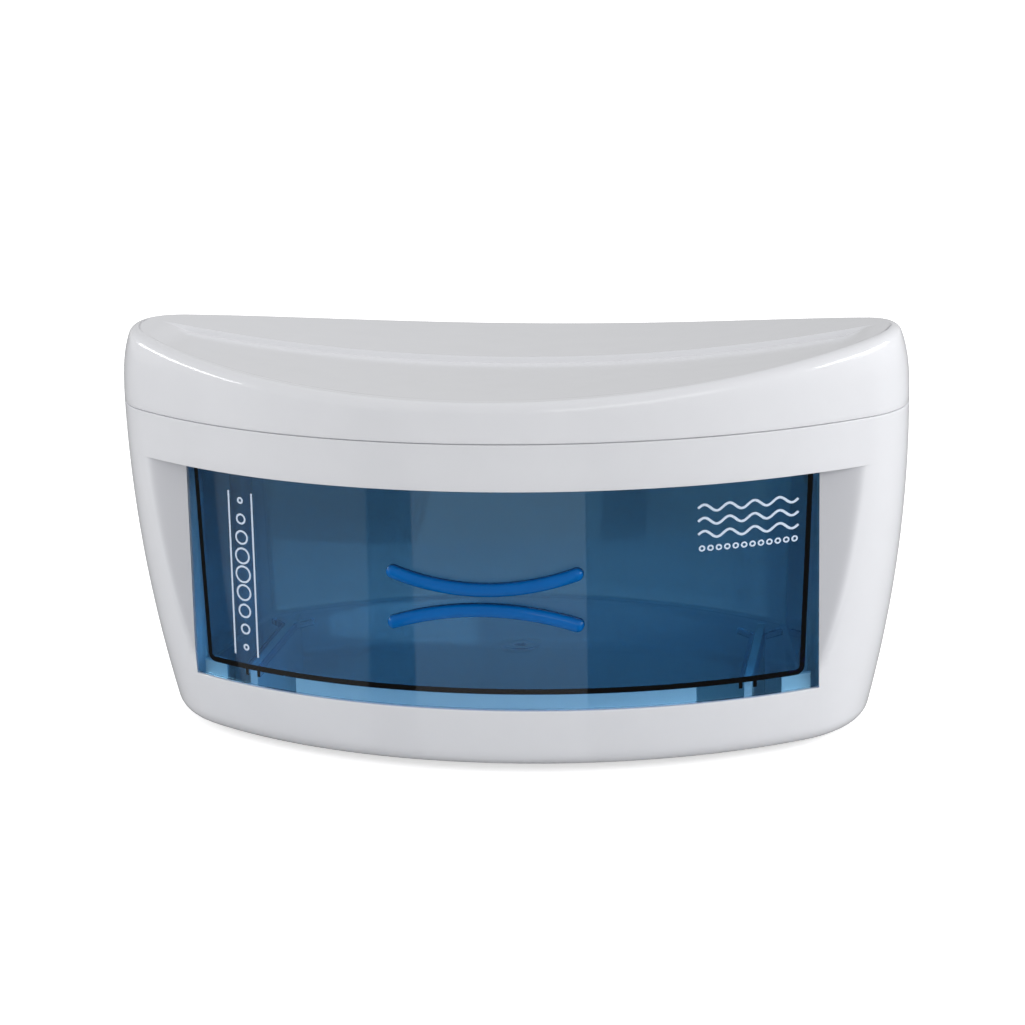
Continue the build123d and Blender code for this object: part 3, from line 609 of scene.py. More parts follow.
# %% One skin of the cover
def cover_sheet(inset):
    """Rings from the seam up the side, round the rim, over the top, down into the tray; then its floor."""
    low = case_height + seam_gap
    if inset:
        rebate = wall - tongue_wall - tongue_fit
        rise = tongue_height + tongue_fit
        seam = [(low, rebate), (low + rise, rebate), (low + rise, inset)]
    else:
        seam = [(low, edge_soft), (low + 0.3 * edge_soft, 0.3 * edge_soft), (low + edge_soft, 0.0)]
    rings = []
    for level, edge in seam:
        rings.append(stack(*lens_point(rim_place, cover_plan(level, edge)), base_z + level))
    for share in np.linspace(0, 1, 11)[1:-1]:
        level = seam[-1][0] + (rim_level - seam[-1][0]) * share
        rings.append(stack(*lens_point(rim_place, cover_plan(level, inset)), base_z + level))
    between = np.arccos((side_normal * top_normal).sum(axis=1))[:, None]
    for share in np.linspace(0, 1, 10):
        turned = np.sin((1 - share) * between) * side_normal + np.sin(share * between) * top_normal
        rings.append(ball + (rim_round - inset) * turned / np.sin(between))
    rim_x, rim_y = rings[-1][:, 0], rings[-1][:, 1]
    edge_x, edge_y = tray_loop(inset + step_start)
    for share in steps(27):
        x, y = rim_x + (edge_x - rim_x) * share, rim_y + (edge_y - rim_y) * share
        rings.append(stack(x, y, saddle_z(x, inset)))
    for grow, fall in step_slope:
        x, y = tray_loop(inset + grow)
        rings.append(stack(x, y, saddle_z(x, inset) + tray_fall(x, y, inset) * fall))
    half = len(rim_place) // 2
    front, back = rings[-1][: half + 1], rings[-1][half:][::-1]
    share = np.linspace(0, 1, 48)[:, None]
    x, y = [front[:, k] + (back[:, k] - front[:, k]) * share for k in (0, 1)]
    return np.stack(rings), stack(x, y, saddle_z(x, inset) + tray_fall(x, y, inset))


# %% Cover
def cover_patches():
    outer, floor = cover_sheet(0.0)
    inner, ceiling = cover_sheet(wall)
    boss = round_outline(back_post, boss_radius)
    height = saddle_z(boss[:, 0], wall / 2)
    post = np.stack([stack(boss[:, 0], boss[:, 1], z) for z in (deck_top, height)])
    skins = [outer, floor, inner, ceiling, across(outer[0], inner[0])]
    return [(skin, False, True) for skin in skins] + [(post, True, True)]


cover_piece = make_piece("cover_moulding", cover_patches())
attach(cover_piece, "housing")
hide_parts("top_cover")

# %% [markdown]
# ## The drawer
# The drawer is one clear moulding: a bowed panel, a tub behind it that opens slightly upwards, ribs
# under the floor that straddle the rails, and two bowed ridges to pull on. Overlapping clear solids
# would show their hidden ends as ghosts, so the forms are made one by one, each closed, and a boolean
# union turns them into one skin. Each starts inside the wall that carries it, so that no two faces lie
# on each other. On the floor is the low ring and stub that the melt's inlet leaves in such a tub.

# %% Sizes of the drawer
panel_corner, panel_soft = 1.5, 0.5
panel_half = window_half - panel_gap
panel_low, panel_high = window_bottom + panel_gap, window_top - panel_gap
tub_wall, tub_floor = 2.4, 2.6
tub_rim = window_top - 3.0
tub_flange = 7.6
tub_draft = math.tan(math.radians(2.4))
tub_draw_in = 11.0
tub_corner = 6.0
tub_foot_round, tub_soft = 4.0, 0.6
ridge_span, ridge_width, ridge_height = 89.0, 6.0, 5.0
ridge_bow, ridge_gap, ridge_edge = 7.0, 9.3, 2.7
ridge_level = (window_bottom + window_top) / 2
rail_rib, rail_play = 1.6, 0.6
rib_height, rib_length, rib_flare = 2.8, 76.0, 7.0
mid_panel = panel_wall / 2


# %% Panel
def panel_patches():
    """Front, back and edge of a slab bent round the cylinder, with small round corners."""
    turn = np.linspace(0, np.pi / 2, 5)
    rise = panel_corner * (1 - np.cos(turn))
    levels = np.linspace(panel_low + panel_corner, panel_high - panel_corner, 40)[1:-1]
    level = np.hstack([panel_low + rise, levels, (panel_high - rise)[::-1]])[:, None]
    from_end = np.minimum(level - panel_low, panel_high - level)
    drop = np.clip(panel_corner - from_end, 0, None)
    half = panel_half - panel_corner + np.sqrt(panel_corner**2 - drop**2)
    x = half * np.linspace(0, 1, 61)
    front = stack(x, panel_y(x, 0), base_z + level)
    back = stack(x, panel_y(x, panel_wall), base_z + level)
    edges = [across(front[0], back[0]), across(front[-1], back[-1]), across(front[:, -1], back[:, -1])]
    return [(patch, False, True) for patch in [front, back] + edges]


# %% Tub
def tub_wall_sheet(level, inset):
    """Half of a U in plan: a straight side that closes in, a round corner, and a bowed back."""
    opened = (level - tub_level) * tub_draft
    side_y, corner_y = -case_depth / 2, tub_corner_y + (opened - inset) / 2
    back_y = tub_back_foot + opened - inset
    front_y = float(panel_y(window_half))
    along = (side_y - front_y) / (tub_corner_y - front_y)
    top_half = window_half - tub_flange + opened - inset
    near = np.stack([top_half - tub_draw_in * along, side_y + 0 * opened], axis=-1)
    far = np.stack([top_half - tub_draw_in, corner_y], axis=-1)
    line = (far - near) / np.linalg.norm(far - near, axis=-1, keepdims=True)
    inward = np.stack([-line[..., 1], line[..., 0]], axis=-1)
    sag = back_y - corner_y
    bow = (far[..., 0] ** 2 + sag**2) / (2 * sag)
    bow_centre = np.stack([0 * bow, back_y - bow], axis=-1)
    radius = tub_corner - inset
    offset = far + radius[..., None] * inward - bow_centre
    reach = (offset * line).sum(axis=-1)
    gone = (offset**2).sum(axis=-1) - (bow - radius) ** 2
    centre = bow_centre + offset + (np.sqrt(reach**2 - gone) - reach)[..., None] * line
    start = np.arctan2(-inward[..., 1], -inward[..., 0])
    away = centre - bow_centre
    end = np.arctan2(away[..., 1], away[..., 0])
    side_end = centre - radius[..., None] * inward
    depth = 0 * level
    for _ in range(12):     # where the side meets the middle of the panel's wall
        x = near[..., 0] + (depth - near[..., 1]) / line[..., 1] * line[..., 0]
        depth = panel_y(x, mid_panel)
    share = np.linspace(0, 1, 26)
    y = depth + (side_end[..., 1] - depth) * share
    x = near[..., 0] + (y - near[..., 1]) / line[..., 1] * line[..., 0]
    turn = start + (end - start) * steps(11)
    corner = arc(centre[..., 0], centre[..., 1], radius, turn)
    turn = end + (np.pi / 2 - end) * steps(41)
    back = arc(bow_centre[..., 0], bow_centre[..., 1], bow, turn)
    return stack(np.hstack([x, corner[0], back[0]]), np.hstack([y, corner[1], back[1]]), base_z + level)


def tub_skin(bottom, inset, foot_round):
    """Wall rows with a round foot and an eased rim, and the floor ruled to the panel."""
    turn = np.linspace(0, np.pi / 2, 8)
    ease = tub_soft * np.array([1.0, 0.45, 0.12, 0.0])
    rows = [
        (bottom + foot_round * (1 - np.cos(turn)), foot_round * (1 - np.sin(turn))),
        (np.linspace(bottom + foot_round, tub_rim - tub_soft, 14)[1:-1], 0),
        (tub_rim - ease, ease[::-1] * (-1 if inset else 1)),
    ]
    level, extra = np.hstack([np.vstack(np.broadcast_arrays(*row)) for row in rows])[:, :, None]
    sheet = tub_wall_sheet(level, inset + extra)
    foot = sheet[0]
    x = foot[0, 0] * np.linspace(1, 0, len(foot))
    front = stack(x, panel_y(x, mid_panel), base_z + bottom)
    share = np.linspace(0, 1, 20)[:, None, None]
    return sheet, front + (foot - front) * share


def tub_patches():
    outer, floor = tub_skin(tub_level, 0.0, tub_foot_round)
    inner, bottom = tub_skin(tub_level + tub_floor, tub_wall, tub_foot_round - tub_wall)
    strips = [
        across(outer[-1], inner[-1]), across(outer[:, 0], inner[:, 0]), across(floor[0], bottom[0])
    ]
    return [(patch, False, True) for patch in [outer, floor, inner, bottom] + strips]


# %% Grip ridges and ribs
def ridge_loop(side, inset):
    """Outline of a bowed slot on the panel, as x and level: two arcs and two round ends."""
    half = (ridge_span - ridge_width) / 2
    radius = (half**2 + ridge_bow**2) / (2 * ridge_bow)
    reach = math.asin(half / radius)
    width = ridge_width / 2 - inset
    bend = np.linspace(-reach, reach, 61)
    cap = np.linspace(0, np.pi, 13)[1:-1]
    far_end = (radius * math.sin(reach), -radius * math.cos(reach))
    cap_x = far_end[0] + width * np.sin(reach + cap)
    cap_down = far_end[1] - width * np.cos(reach + cap)
    wide, narrow = radius + width, radius - width
    x = np.hstack([wide * np.sin(bend), cap_x, narrow * np.sin(bend[::-1]), -cap_x[::-1]])
    down = np.hstack([-wide * np.cos(bend), cap_down, -narrow * np.cos(bend), cap_down[::-1]])
    middle = ridge_level + side * ridge_gap / 2
    return x, middle + side * (radius + down)


def ridge_grid(side):
    """Rings from inside the panel's wall out to the ridge's face, which closes on its centre line."""
    turn = np.linspace(0, np.pi / 2, 7)
    insets = np.hstack([0, ridge_edge * (1 - np.cos(turn)), ridge_width / 2])
    depths = np.hstack([mid_panel, -ridge_height + ridge_edge * (1 - np.sin(turn)), -ridge_height])
    rings = []
    for inset, depth in zip(insets, depths):
        x, level = ridge_loop(side, inset)
        rings.append(stack(x, panel_y(x, depth), base_z + level))
    return np.stack(rings)


def rib_outline(side):
    """A straight rib beside the rail, whose back end turns away to catch it."""
    back = float(panel_y(rail_x, mid_panel)) + rib_length
    inner = rail_x + side * (rail_width / 2 + rail_play)
    outer = inner + side * rail_rib
    front = float(panel_y(max(inner, outer), mid_panel))
    flare = side * rib_flare
    return np.array([
        (inner, front), (outer, front), (outer, back - 1), (outer + flare, back + rib_flare),
        (inner + flare, back + rib_flare + rail_rib), (inner, back - 1),
    ])


def rib_patches():
    low, high = base_z + tub_level - rib_height, base_z + tub_level + tub_floor / 2
    return [(prism(rib_outline(side), low, high), True, True) for side in (-1, 1)]


# %% Gate mark
gate_place = (4.0, -13.0)
gate_profile = np.array([     # radius and rise: the cut-off stub, the ring round it and a foot in the floor
    (0.0, 0.4), (1.6, 0.33), (3.0, 0.08), (4.5, 0.03), (6.0, 0.1), (7.2, 0.13), (8.8, 0.06), (10.4, -0.06),
    (10.4, -1.0),
])


def gate_patches():
    """The profile turned about an upright axis."""
    turn = np.linspace(0, 2 * np.pi, 72, endpoint=False)
    radius, rise = gate_profile.T[:, :, None]
    return [(stack(*arc(*gate_place, radius, turn), base_z + tub_level + tub_floor + rise), True, False)]


# %% One clear skin
panel = make_piece("panel", panel_patches())
bevel = panel.modifiers.new("bevel", "BEVEL")
bevel.width, bevel.segments, bevel.limit_method = panel_soft * MM, 3, "ANGLE"
others = [
    make_piece("tub", tub_patches()),
    make_piece("ridge_up", [(ridge_grid(1), True, False)]),
    make_piece("ridge_down", [(ridge_grid(-1), True, False)]),
    make_piece("ribs", rib_patches()),
    make_piece("gate", gate_patches()),
]
for other in others:
    join = panel.modifiers.new(other.name, "BOOLEAN")
    join.object, join.operation, join.solver = other, "UNION", "EXACT"
joined = panel.evaluated_get(bpy.context.evaluated_depsgraph_get())
drawer_shape = weld(bpy.data.meshes.new_from_object(joined), SEW)
for spare in [panel] + others:
    bpy.data.objects.remove(spare)
drawer_piece = show("drawer_moulding", drawer_shape)
drawer_mesh = drawer_piece.data
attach(drawer_piece, "drawer")
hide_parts("drawer")

# %% [markdown]
# ## The print on the panel
# Cabinets of this kind have a pale pad print on the panel, a tall block at one end and a wide one at the
# other. These are plain shapes in its place: rings between two rules, and three waves over a row of
# rings. A print is a film of ink, so each mark is a strip that follows the panel's bend, stands a few
# hundredths proud of it and sinks a little into it.

# %% Sizes of the print
ink_proud, ink_sunk = 0.06, 0.04
rule_width, ring_width, wave_width, wave_height = 0.9, 0.9, 1.1, 1.5
small_ring, small_rings, ring_margin = (1.4, 0.7), 12, 1.6
tall_middle, tall_half = -117.5, 6.2
tall_low, tall_high, tall_margin = 42.0, 120.0, 4.0
tall_rings, least_radius, radius_gain = 9, 1.6, 2.6
wide_start, wide_end, wide_low = 94.0, 137.0, 98.0
wave_levels = (106.0, 112.0, 118.0)


# %% Marks
def on_panel(x, level, proud):
    """Points of the panel's face, raised by proud."""
    return stack(x, panel_y(x, -proud), base_z + level)


def ink_strip(x, level, width):
    """A strip of even width along a line on the panel: two edges, each at two depths."""
    along = np.stack([np.gradient(x), np.gradient(level)])
    along = along / np.hypot(*along) * width / 2
    edges = [(x - along[1], level + along[0]), (x + along[1], level - along[0])]
    corners = [(edges[0], ink_proud), (edges[1], ink_proud), (edges[1], -ink_sunk), (edges[0], -ink_sunk)]
    return np.stack([on_panel(*edge, depth) for edge, depth in corners], axis=1)


def ink_rule(low, high, x):
    level = np.linspace(low, high, 12)
    return ink_strip(x + 0 * level, level, rule_width), True, False


def ink_ring(x, level, radius, width):
    """A ring is a strip whose two halves meet."""
    hole = radius - width
    corners = [(hole, ink_proud), (radius, ink_proud), (radius, -ink_sunk), (hole, -ink_sunk)]
    halves = []
    for start in (0, np.pi):
        turn = start + np.linspace(0, np.pi, 25)
        ring = [on_panel(*arc(x, level, reach, turn), depth) for reach, depth in corners]
        halves.append((np.stack(ring, axis=1), True, False))
    return halves


def ink_wave(level, waves=4):
    x = np.linspace(wide_start, wide_end, 30 * waves)
    rise = wave_height * np.sin((x - wide_start) / (wide_end - wide_start) * 2 * np.pi * waves)
    return ink_strip(x, level + rise, wave_width), True, False


def print_patches():
    """The tall block of rings between rules and the wide block of waves over a row of rings."""
    marks = [ink_rule(tall_low, tall_high, tall_middle + side * tall_half) for side in (-1, 1)]
    for level in np.linspace(tall_low + tall_margin, tall_high - tall_margin, tall_rings):
        share = (level - tall_low - tall_margin) / (tall_high - tall_low - 2 * tall_margin)
        radius = least_radius + radius_gain * math.sin(math.pi * share)
        marks += ink_ring(tall_middle, level, radius, ring_width)
    marks += [ink_wave(level) for level in wave_levels]
    for x in np.linspace(wide_start + ring_margin, wide_end - ring_margin, small_rings):
        marks += ink_ring(x, wide_low + ring_margin, *small_ring)
    return marks


print_piece = make_piece("panel_print", print_patches())
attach(print_piece, "drawer")

# %% [markdown]
# ## Finishes
# Nearly every finish here shares one recipe: a pattern on Object coordinates that mixes two close
# colours, shifts the roughness a little and raises a fine bump. Each has its own real size for that
# pattern, and a direction where the maker's process has one.

# %% Helpers for materials
def hex_colour(code, alpha=1.0):
    """Linear colour of an sRGB hex code: c/12.92 below 0.04045, else ((c+0.055)/1.055)^2.4."""
    value = np.array([int(code[k : k + 2], 16) for k in (1, 3, 5)]) / 255
    linear = np.where(value <= 0.04045, value / 12.92, ((value + 0.055) / 1.055) ** 2.4)
    return (*linear.tolist(), alpha)


def feed(target, links):
    """Leads outputs into the named or numbered sockets of a node."""
    for socket, output in links.items():
        target.id_data.links.new(output, target.inputs[socket])


def node(material, kind, links=None, **settings):
    """Adds a node. A setting goes to the node, or to the socket of that name; links go to feed."""
    new = material.node_tree.nodes.new(kind)
    for name, value in settings.items():
        socket = new.inputs.get(name.replace("_", " ").title())
        if hasattr(new, name):
            setattr(new, name, value)
        else:
            socket.default_value = value
    feed(new, links or {})
    return new


def new_material(name, values):
    """A material whose Principled BSDF has the given socket values."""
    material = bpy.data.materials.new(name)
    material.use_nodes = True
    shader = material.node_tree.nodes["Principled BSDF"]
    for socket, value in values.items():
        shader.inputs[socket].default_value = value
    return material, shader


def patterned(name, colours, roughness, size_mm, height_mm, stretch=(1, 1, 1), wave=None, **values):
    """A finish with a pattern of humps size_mm apart, or of wave bands that far apart, in Object
    coordinates. It mixes two colours, two roughnesses, and raises a bump height_mm high."""
    material, shader = new_material(name, values)
    place = node(material, "ShaderNodeTexCoord")
    spread = node(material, "ShaderNodeMapping", {"Vector": place.outputs["Object"]}, Scale=stretch)
    along = {"Vector": spread.outputs["Vector"]}
    if wave:
        per_metre = 0.1 * math.pi / (size_mm * MM)    # a wave texture turns once in 2 pi / 20 of its scale
        pattern = node(material, "ShaderNodeTexWave", along, Scale=per_metre, bands_direction=wave)
    else:
        pattern = node(material, "ShaderNodeTexNoise", along, Scale=1 / (size_mm * MM), Detail=3.0)
    hump = pattern.outputs["Fac"]
    tint = node(material, "ShaderNodeMix", {0: hump}, data_type="RGBA")
    tint.inputs[6].default_value, tint.inputs[7].default_value = [hex_colour(code) for code in colours]
    gloss = node(material, "ShaderNodeMapRange", {"Value": hump}, To_Min=roughness[0], To_Max=roughness[1])
    bump = node(material, "ShaderNodeBump", {"Height": hump}, Distance=height_mm * MM, Strength=1.0)
    feed(shader, {
        "Base Color": tint.outputs[2], "Roughness": gloss.outputs["Result"], "Normal": bump.outputs["Normal"],
    })
    return material


def recolour(material, mesh, attribute, values, code):
    """Where a number kept on the mesh's corners is 1, the finish's colour gives way to another."""
    kept = mesh.attributes.new(attribute, "FLOAT", "POINT")
    kept.data.foreach_set("value", values)
    shader = material.node_tree.nodes["Principled BSDF"]
    tint = shader.inputs["Base Color"].links[0].from_socket
    share = node(material, "ShaderNodeAttribute", attribute_name=attribute).outputs["Fac"]
    mixed = node(material, "ShaderNodeMix", {0: share, 6: tint}, data_type="RGBA")
    mixed.inputs[7].default_value = hex_colour(code)
    feed(shader, {"Base Color": mixed.outputs[2]})


# %% [markdown]
# ### Gloss ABS
# The case and the cover come out of a polished mould in white ABS. What the eye gets is a cool white with
# clean reflections that waver a little, because the wall sinks by a few microns between its ribs. The
# lands beside the window are given a greyer white as painted shade, so that they read darker than the
# skin: a number on each corner of the mesh, 1 on a land and 0 off it, mixes that grey in.

# %% Gloss ABS with painted shade on the lands
gloss_abs = patterned("gloss_abs_moulded", ("#e3e4e8", "#e6e7eb"), (0.13, 0.17), 14.0, 0.004, IOR=1.53)


def places(parts, kind):
    """x, y and z of a mesh's corners ("co") or of its faces' centres ("center"), in millimetres."""
    values = np.empty(3 * len(parts))
    parts.foreach_get(kind, values)
    return values.reshape(-1, 3).T / MM


def land_shade_share(mesh):
    """Painted shade: 1 where a corner lies on a land, fading to 0 over the eased bend beside it."""
    x, y, z = places(mesh.vertices, "co")
    x = np.abs(x)
    off = np.abs(y - land_y(x))
    inside = (x > window_half - 0.1) & (z > base_z + window_bottom) & (z < base_z + window_top + 0.05)
    return smooth(1 - off / land_soft) * inside


# Painted shade: the lands beside the window get the greyer #cbccd1 in place of the gloss white.
recolour(gloss_abs, case_piece.data, "satin", land_shade_share(case_piece.data), "#cbccd1")
case_piece.data.materials.append(gloss_abs)
cover_piece.data.materials.append(gloss_abs)

# %% [markdown]
# ### Clear blue SAN
# The drawer is a clear styrene plastic with a blue dye in it, so the colour deepens with the way that
# light travels inside: the panel is pale, the floor's front edge is nearly navy. That is an absorbing
# volume. Light that falls through the drawer would be lost to the shadow rays, so for those alone the
# surface is open. The ridges are thick and rounded and bend the light. Their deep blue is partly the
# dye and partly painted glow in a mostly opaque base colour, and their foot is darker as painted shade.

# %% Clear plastic
clear_blue, shader = new_material("clear_san_tinted", {
    "Base Color": (1, 1, 1, 1), "Roughness": 0.02, "IOR": 1.5, "Transmission Weight": 1.0,
})
place = node(clear_blue, "ShaderNodeTexCoord")
flow = node(clear_blue, "ShaderNodeTexNoise", {"Vector": place.outputs["Object"]}, Scale=28.0, Detail=1.0)
bump = node(clear_blue, "ShaderNodeBump", {"Height": flow.outputs["Fac"]}, Distance=0.012 * MM, Strength=1.0)
dye = node(clear_blue, "ShaderNodeVolumeAbsorption", Color=(0.0, 0.66, 0.965, 1), Density=170.0)
rays = node(clear_blue, "ShaderNodeLightPath")
let_light = node(clear_blue, "ShaderNodeMath", {0: rays.outputs["Is Shadow Ray"]}, operation="MULTIPLY_ADD")
let_light.inputs[1].default_value, let_light.inputs[2].default_value = -1.0, 1.0
feed(shader, {"Normal": bump.outputs["Normal"], "Alpha": let_light.outputs[0]})
feed(clear_blue.node_tree.nodes["Material Output"], {"Volume": dye.outputs["Volume"]})
# The ridges' base colours are partly the dye's blue and partly painted glow, standing in for the light that
# the thick clear ridges bend.
thick_blue = patterned(
    "clear_san_thick", ("#0064b4", "#0070c6"), (0.04, 0.07), 9.0, 0.01, IOR=1.5,
    **{"Transmission Weight": 0.3, "Specular IOR Level": 0.12},
)
drawer_piece.data.materials.append(clear_blue)
drawer_piece.data.materials.append(thick_blue)


def proud_of_panel(parts, kind):
    """How far corners or face centres stand in front of the panel's face: from its axis, less its radius."""
    x, y, _ = places(parts, kind)
    return np.hypot(x, y - panel_centre) - panel_radius


on_ridge = proud_of_panel(drawer_mesh.polygons, "center") > 0.02
drawer_mesh.polygons.foreach_set("material_index", on_ridge.astype(np.int32))
print("faces on the ridges", on_ridge.sum())
# Painted shade: the ridges turn navy towards their foot, where a thick clear rod looks dark.
painted_foot_shade = smooth(1 - proud_of_panel(drawer_mesh.vertices, "co") / ridge_height)
recolour(thick_blue, drawer_mesh, "ridge_painted_shade", painted_foot_shade, "#00224e")

# %% [markdown]
# ### Pad print ink
# A pad leaves a thin matt film, pale and a little uneven. It could be a mask in the panel's own finish,
# but a clear wall would carry that mask through its whole depth. The film is a piece of its own here, so
# it has its own finish.

# %% Ink
ink = patterned("pad_print_ink", ("#c9d9ee", "#d6e4f5"), (0.45, 0.55), 0.8, 0.004)
print_piece.data.materials.append(ink)

# %% [markdown]
# ### Finishes of the inner and small pieces
# These are seen through the blue drawer, from behind, or with the cover off. Each gets the finish of its
# real material: the grain of a sparked mould, the lines that rolls leave along a sheet, the edges of
# stacked laminations, the turns of a tape, the bloom on rubber.

# %% Moulded plastics: grain of a sparked mould, 0.4 to 1 mm across
finishes = {"white_abs": gloss_abs, "blue_clear": clear_blue}


def finish(slot, *recipe, **values):
    finishes[slot] = patterned(*recipe, **values)


finish("white_abs_inner", "satin_abs_deck", ("#dcdee1", "#e2e4e7"), (0.32, 0.4), 0.7, 0.006, IOR=1.53)
finish("white_pbt", "satin_pbt_holder", ("#e1e0da", "#e8e7e2"), (0.36, 0.46), 0.5, 0.008)
finish("black_nylon", "black_nylon_grained", ("#1d1e21", "#27282b"), (0.42, 0.55), 0.4, 0.012)
finish("black_gloss", "black_gloss_rocker", ("#101114", "#151619"), (0.1, 0.16), 6.0, 0.003)
finish("starter_can", "white_starter_can", ("#d8d8d9", "#e0e0e1"), (0.25, 0.34), 0.9, 0.006)

# %% Metals: rolled lines run along X, drawn caps are finer, plated steel is mottled
rolled, drawn = (0.03, 1, 1), (1, 0.1, 0.1)


def metal(slot, *recipe):
    finish(slot, *recipe, Metallic=1.0)


metal("bright_aluminium", "bright_rolled_aluminium", ("#dfe1e5", "#eaebee"), (0.12, 0.24), 0.8, 0.004, rolled)
metal("lamp_cap_metal", "pressed_aluminium_cap", ("#c8cacc", "#d6d8da"), (0.26, 0.36), 0.5, 0.004, drawn)
metal("zinc_steel", "zinc_plated_steel", ("#bcc0c4", "#cfcdc2"), (0.28, 0.44), 3.5, 0.006)
metal("spring_steel", "spring_steel_strip", ("#c2c2bf", "#d0d0cd"), (0.18, 0.3), 0.3, 0.003, (0.05, 1, 1))

# %% Wound and stacked pieces: sheets 0.5 mm thick under varnish, and tape in turns of 6 mm
varnish = {"wave": "Y", "Metallic": 0.6}
finish("lamination_steel", "varnished_laminations", ("#39383b", "#5c5a5b"), (0.3, 0.5), 0.5, 0.08, **varnish)
finish("coil_wrap", "taped_winding", ("#b8923a", "#d3b053"), (0.35, 0.5), 6.0, 0.15, wave="Z")

# %% Glass and rubber
glass = {"IOR": 1.46, "Transmission Weight": 1.0}
finish("lamp_glass", "clear_lamp_glass", ("#f2f7ff", "#f8fbff"), (0.02, 0.04), 40.0, 0.004, **glass)
finish("foot_rubber", "moulded_rubber_foot", ("#343436", "#424245"), (0.65, 0.85), 0.6, 0.02)

# %% Each node takes the finish of its own slot
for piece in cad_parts.values():
    for slot in piece.material_slots:
        slot.material = finishes[slot.material.name.split(".")[0]]
print("finishes", len(finishes) + 2)

# %% [markdown]
# ## Camera, floor and light
# The camera stands a little right of the middle and looks down at the front, through a long lens. The
# floor is white paper that the eye sees as plain white, and it still takes the shadow.

# %% Camera
camera_place = (0.207743, -1.305776, 0.418328)
camera_turn = (9.063, 13.502, -1.273)     # heading, dip and roll, in degrees
focal_length, sensor_width = 100.876, 36.0


def aim_camera():
    """Camera from its place, heading, dip and roll, in the frame's own axes."""
    heading, dip, roll = [math.radians(angle) for angle in camera_turn]
    forward = Vector((-math.sin(heading) * math.cos(dip), math.cos(heading) * math.cos(dip), -math.sin(dip)))
    right = Vector((math.cos(heading), math.sin(heading), 0))
    up = right.cross(forward)
    turned = right * math.cos(roll) + up * math.sin(roll)
    above = -right * math.sin(roll) + up * math.cos(roll)
    lens = bpy.data.cameras.new("camera")
    lens.lens, lens.sensor_width = focal_length, sensor_width
    camera = add_object("camera", lens)
    turn = Matrix((turned, above, -forward)).transposed()
    camera.matrix_world = Matrix.Translation(Vector(camera_place)) @ turn.to_4x4()
    bpy.context.scene.camera = camera


aim_camera()

# %% What the eye sees of the stage
def seen_as(material, levels, base=0.0):
    """Strength = base + level for each kind of ray that carries the stage to the eye."""
    rays = node(material, "ShaderNodeLightPath")
    total = None
    for ray, level in levels.items():
        part = node(material, "ShaderNodeMath", {0: rays.outputs[ray]}, operation="MULTIPLY_ADD")
        part.inputs[1].default_value = level
        part.inputs[2].default_value = base if total is None else 0.0
        if total is not None:
            feed(part, {2: total})
        total = part.outputs[0]
    return total


def stage_sheet(name, corners, glossy_level):
    """A flat white sheet that glows a little for the rays that reach the eye."""
    mesh = bpy.data.meshes.new(name)
    mesh.from_pydata(corners, [], [tuple(range(len(corners)))])
    sheet = add_object(name, mesh)
    material, shader = new_material(name + "_paper", {"Base Color": hex_colour("#e6e6e6"), "Roughness": 0.9})
    levels = {"Is Camera Ray": 0.6, "Is Transmission Ray": 0.3}
    glow = node(material, "ShaderNodeEmission", {"Strength": seen_as(material, levels)})
    both = node(material, "ShaderNodeAddShader", {0: glow.outputs[0], 1: shader.outputs[0]})
    mirrored = node(material, "ShaderNodeEmission", Strength=glossy_level)
    rays = node(material, "ShaderNodeLightPath")
    choice = {0: rays.outputs["Is Glossy Ray"], 1: both.outputs[0], 2: mirrored.outputs[0]}
    pick = node(material, "ShaderNodeMixShader", choice)
    feed(material.node_tree.nodes["Material Output"], {"Surface": pick.outputs[0]})
    mesh.materials.append(material)


far_edge = 6.0
corners = [(x * far_edge, y * far_edge, 0) for x, y in ((-1, -1), (1, -1), (1, 1), (-1, 1))]
stage_sheet("floor", corners, 0.12)

# %% [markdown]
# ### What the panel mirrors
# A clear dark panel shows what stands in front of it. In a studio that is a dark room with a bright
# opening, which the bowed panel draws as an upright band in its middle. Two cards on the floor give
# that band and a wider one at the left. To the eye they are like the floor, and only reflections show
# them.


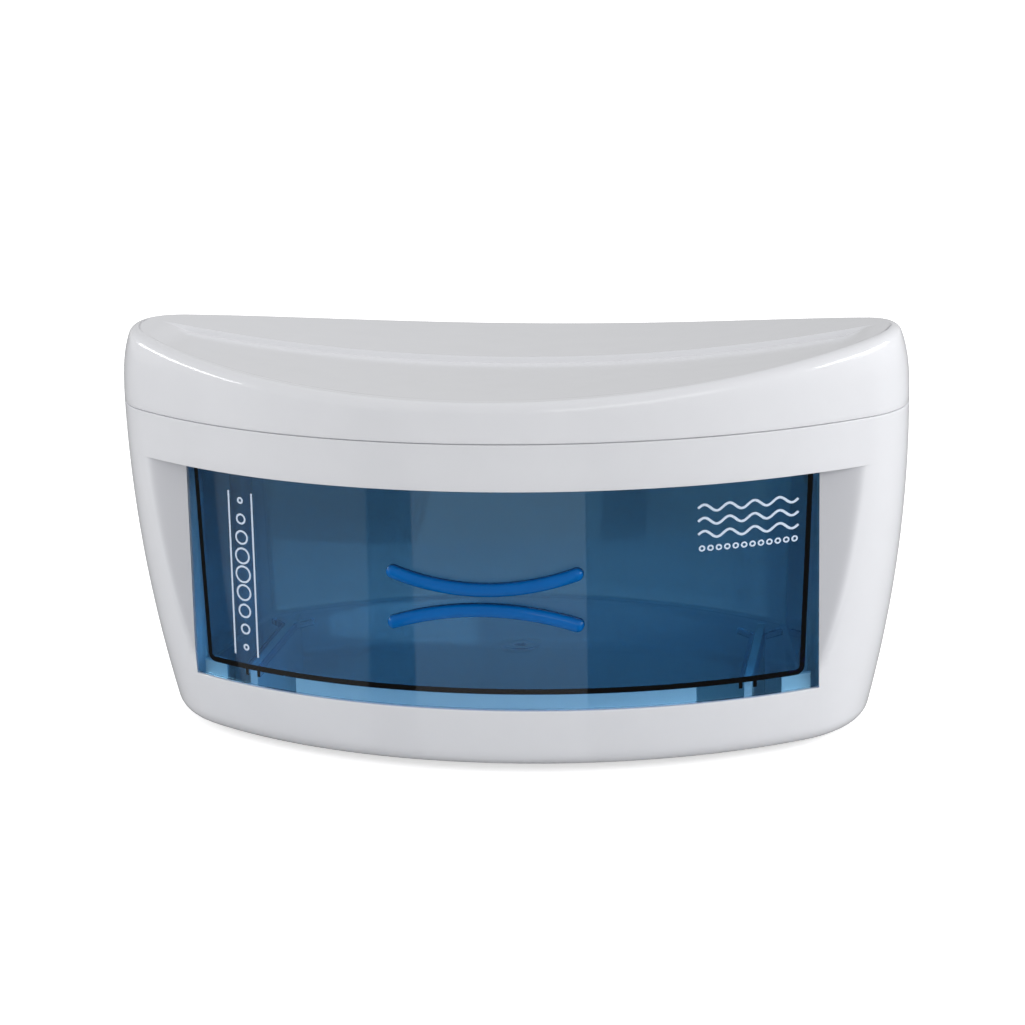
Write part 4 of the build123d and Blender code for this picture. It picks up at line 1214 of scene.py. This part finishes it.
# %% Cards and room
def floor_card(name, start, slopes, glossy_level):
    """A card on the floor that fans out towards the viewer between two slopes, seen only in reflections."""
    near, far = -0.085, -2.2
    reach = near - far
    fan = [(start[0], near), (start[0] - slopes[0] * reach, far)]
    fan += [(start[1] - slopes[1] * reach, far), (start[1], near)]
    stage_sheet(name, [(x, y, 0.0002) for x, y in fan], glossy_level)


floor_card("card_middle", (-0.032, 0.045), (0.4935, -0.2445), 0.55)
floor_card("card_left", (-0.2, -0.06), (7.0, 0.75), 0.42)

world = bpy.data.worlds.new("studio")
bpy.context.scene.world = world
world.use_nodes = True
sky = world.node_tree.nodes["Background"]
base = 0.64
levels = {"Is Camera Ray": 1 - base, "Is Glossy Ray": 0.45 - base, "Is Transmission Ray": 1 - base}
feed(sky, {"Strength": seen_as(world, levels, base)})
sky.inputs["Color"].default_value = (1, 1, 1, 1)

# %% [markdown]
# ### Lamps
# Two long low softboxes stand at the sides: they give the thin bright lines along the cover's rim and
# leave the middle of the front a little darker. A weak one in front lifts it. Inside the drawer's bay a
# faint blue lamp stands for the light that the dyed walls pass on to one another.


# %% Softboxes
def softbox(name, place, target, size, watts):
    lamp = bpy.data.lights.new(name, "AREA")
    lamp.shape, lamp.size, lamp.size_y, lamp.energy = "RECTANGLE", size[0], size[1], watts
    holder = add_object(name, lamp)
    holder.location = place
    holder.rotation_euler = (Vector(target) - Vector(place)).to_track_quat("-Z", "Y").to_euler()
    return holder


softbox("key_right", (2.05, 0.2, 0.8), (0, 0, 0.1), (1.9, 0.38), 24)
softbox("fill_left", (-1.9, -0.05, 0.8), (0, 0, 0.1), (1.5, 0.3), 12.5)
softbox("front", (1.1, -2.2, 1.3), (0, 0, 0.1), (1.8, 0.8), 8.5)
inner_lamp = softbox("inside", (0, 0.02, 0.133), (0, 0.02, 0), (0.24, 0.1), 0.05)
inner_lamp.data.color = (0.3, 0.86, 1.0)
inner_lamp.visible_glossy = inner_lamp.visible_transmission = False

# %% Finish
scene = bpy.context.scene
scene.view_settings.view_transform = "Standard"
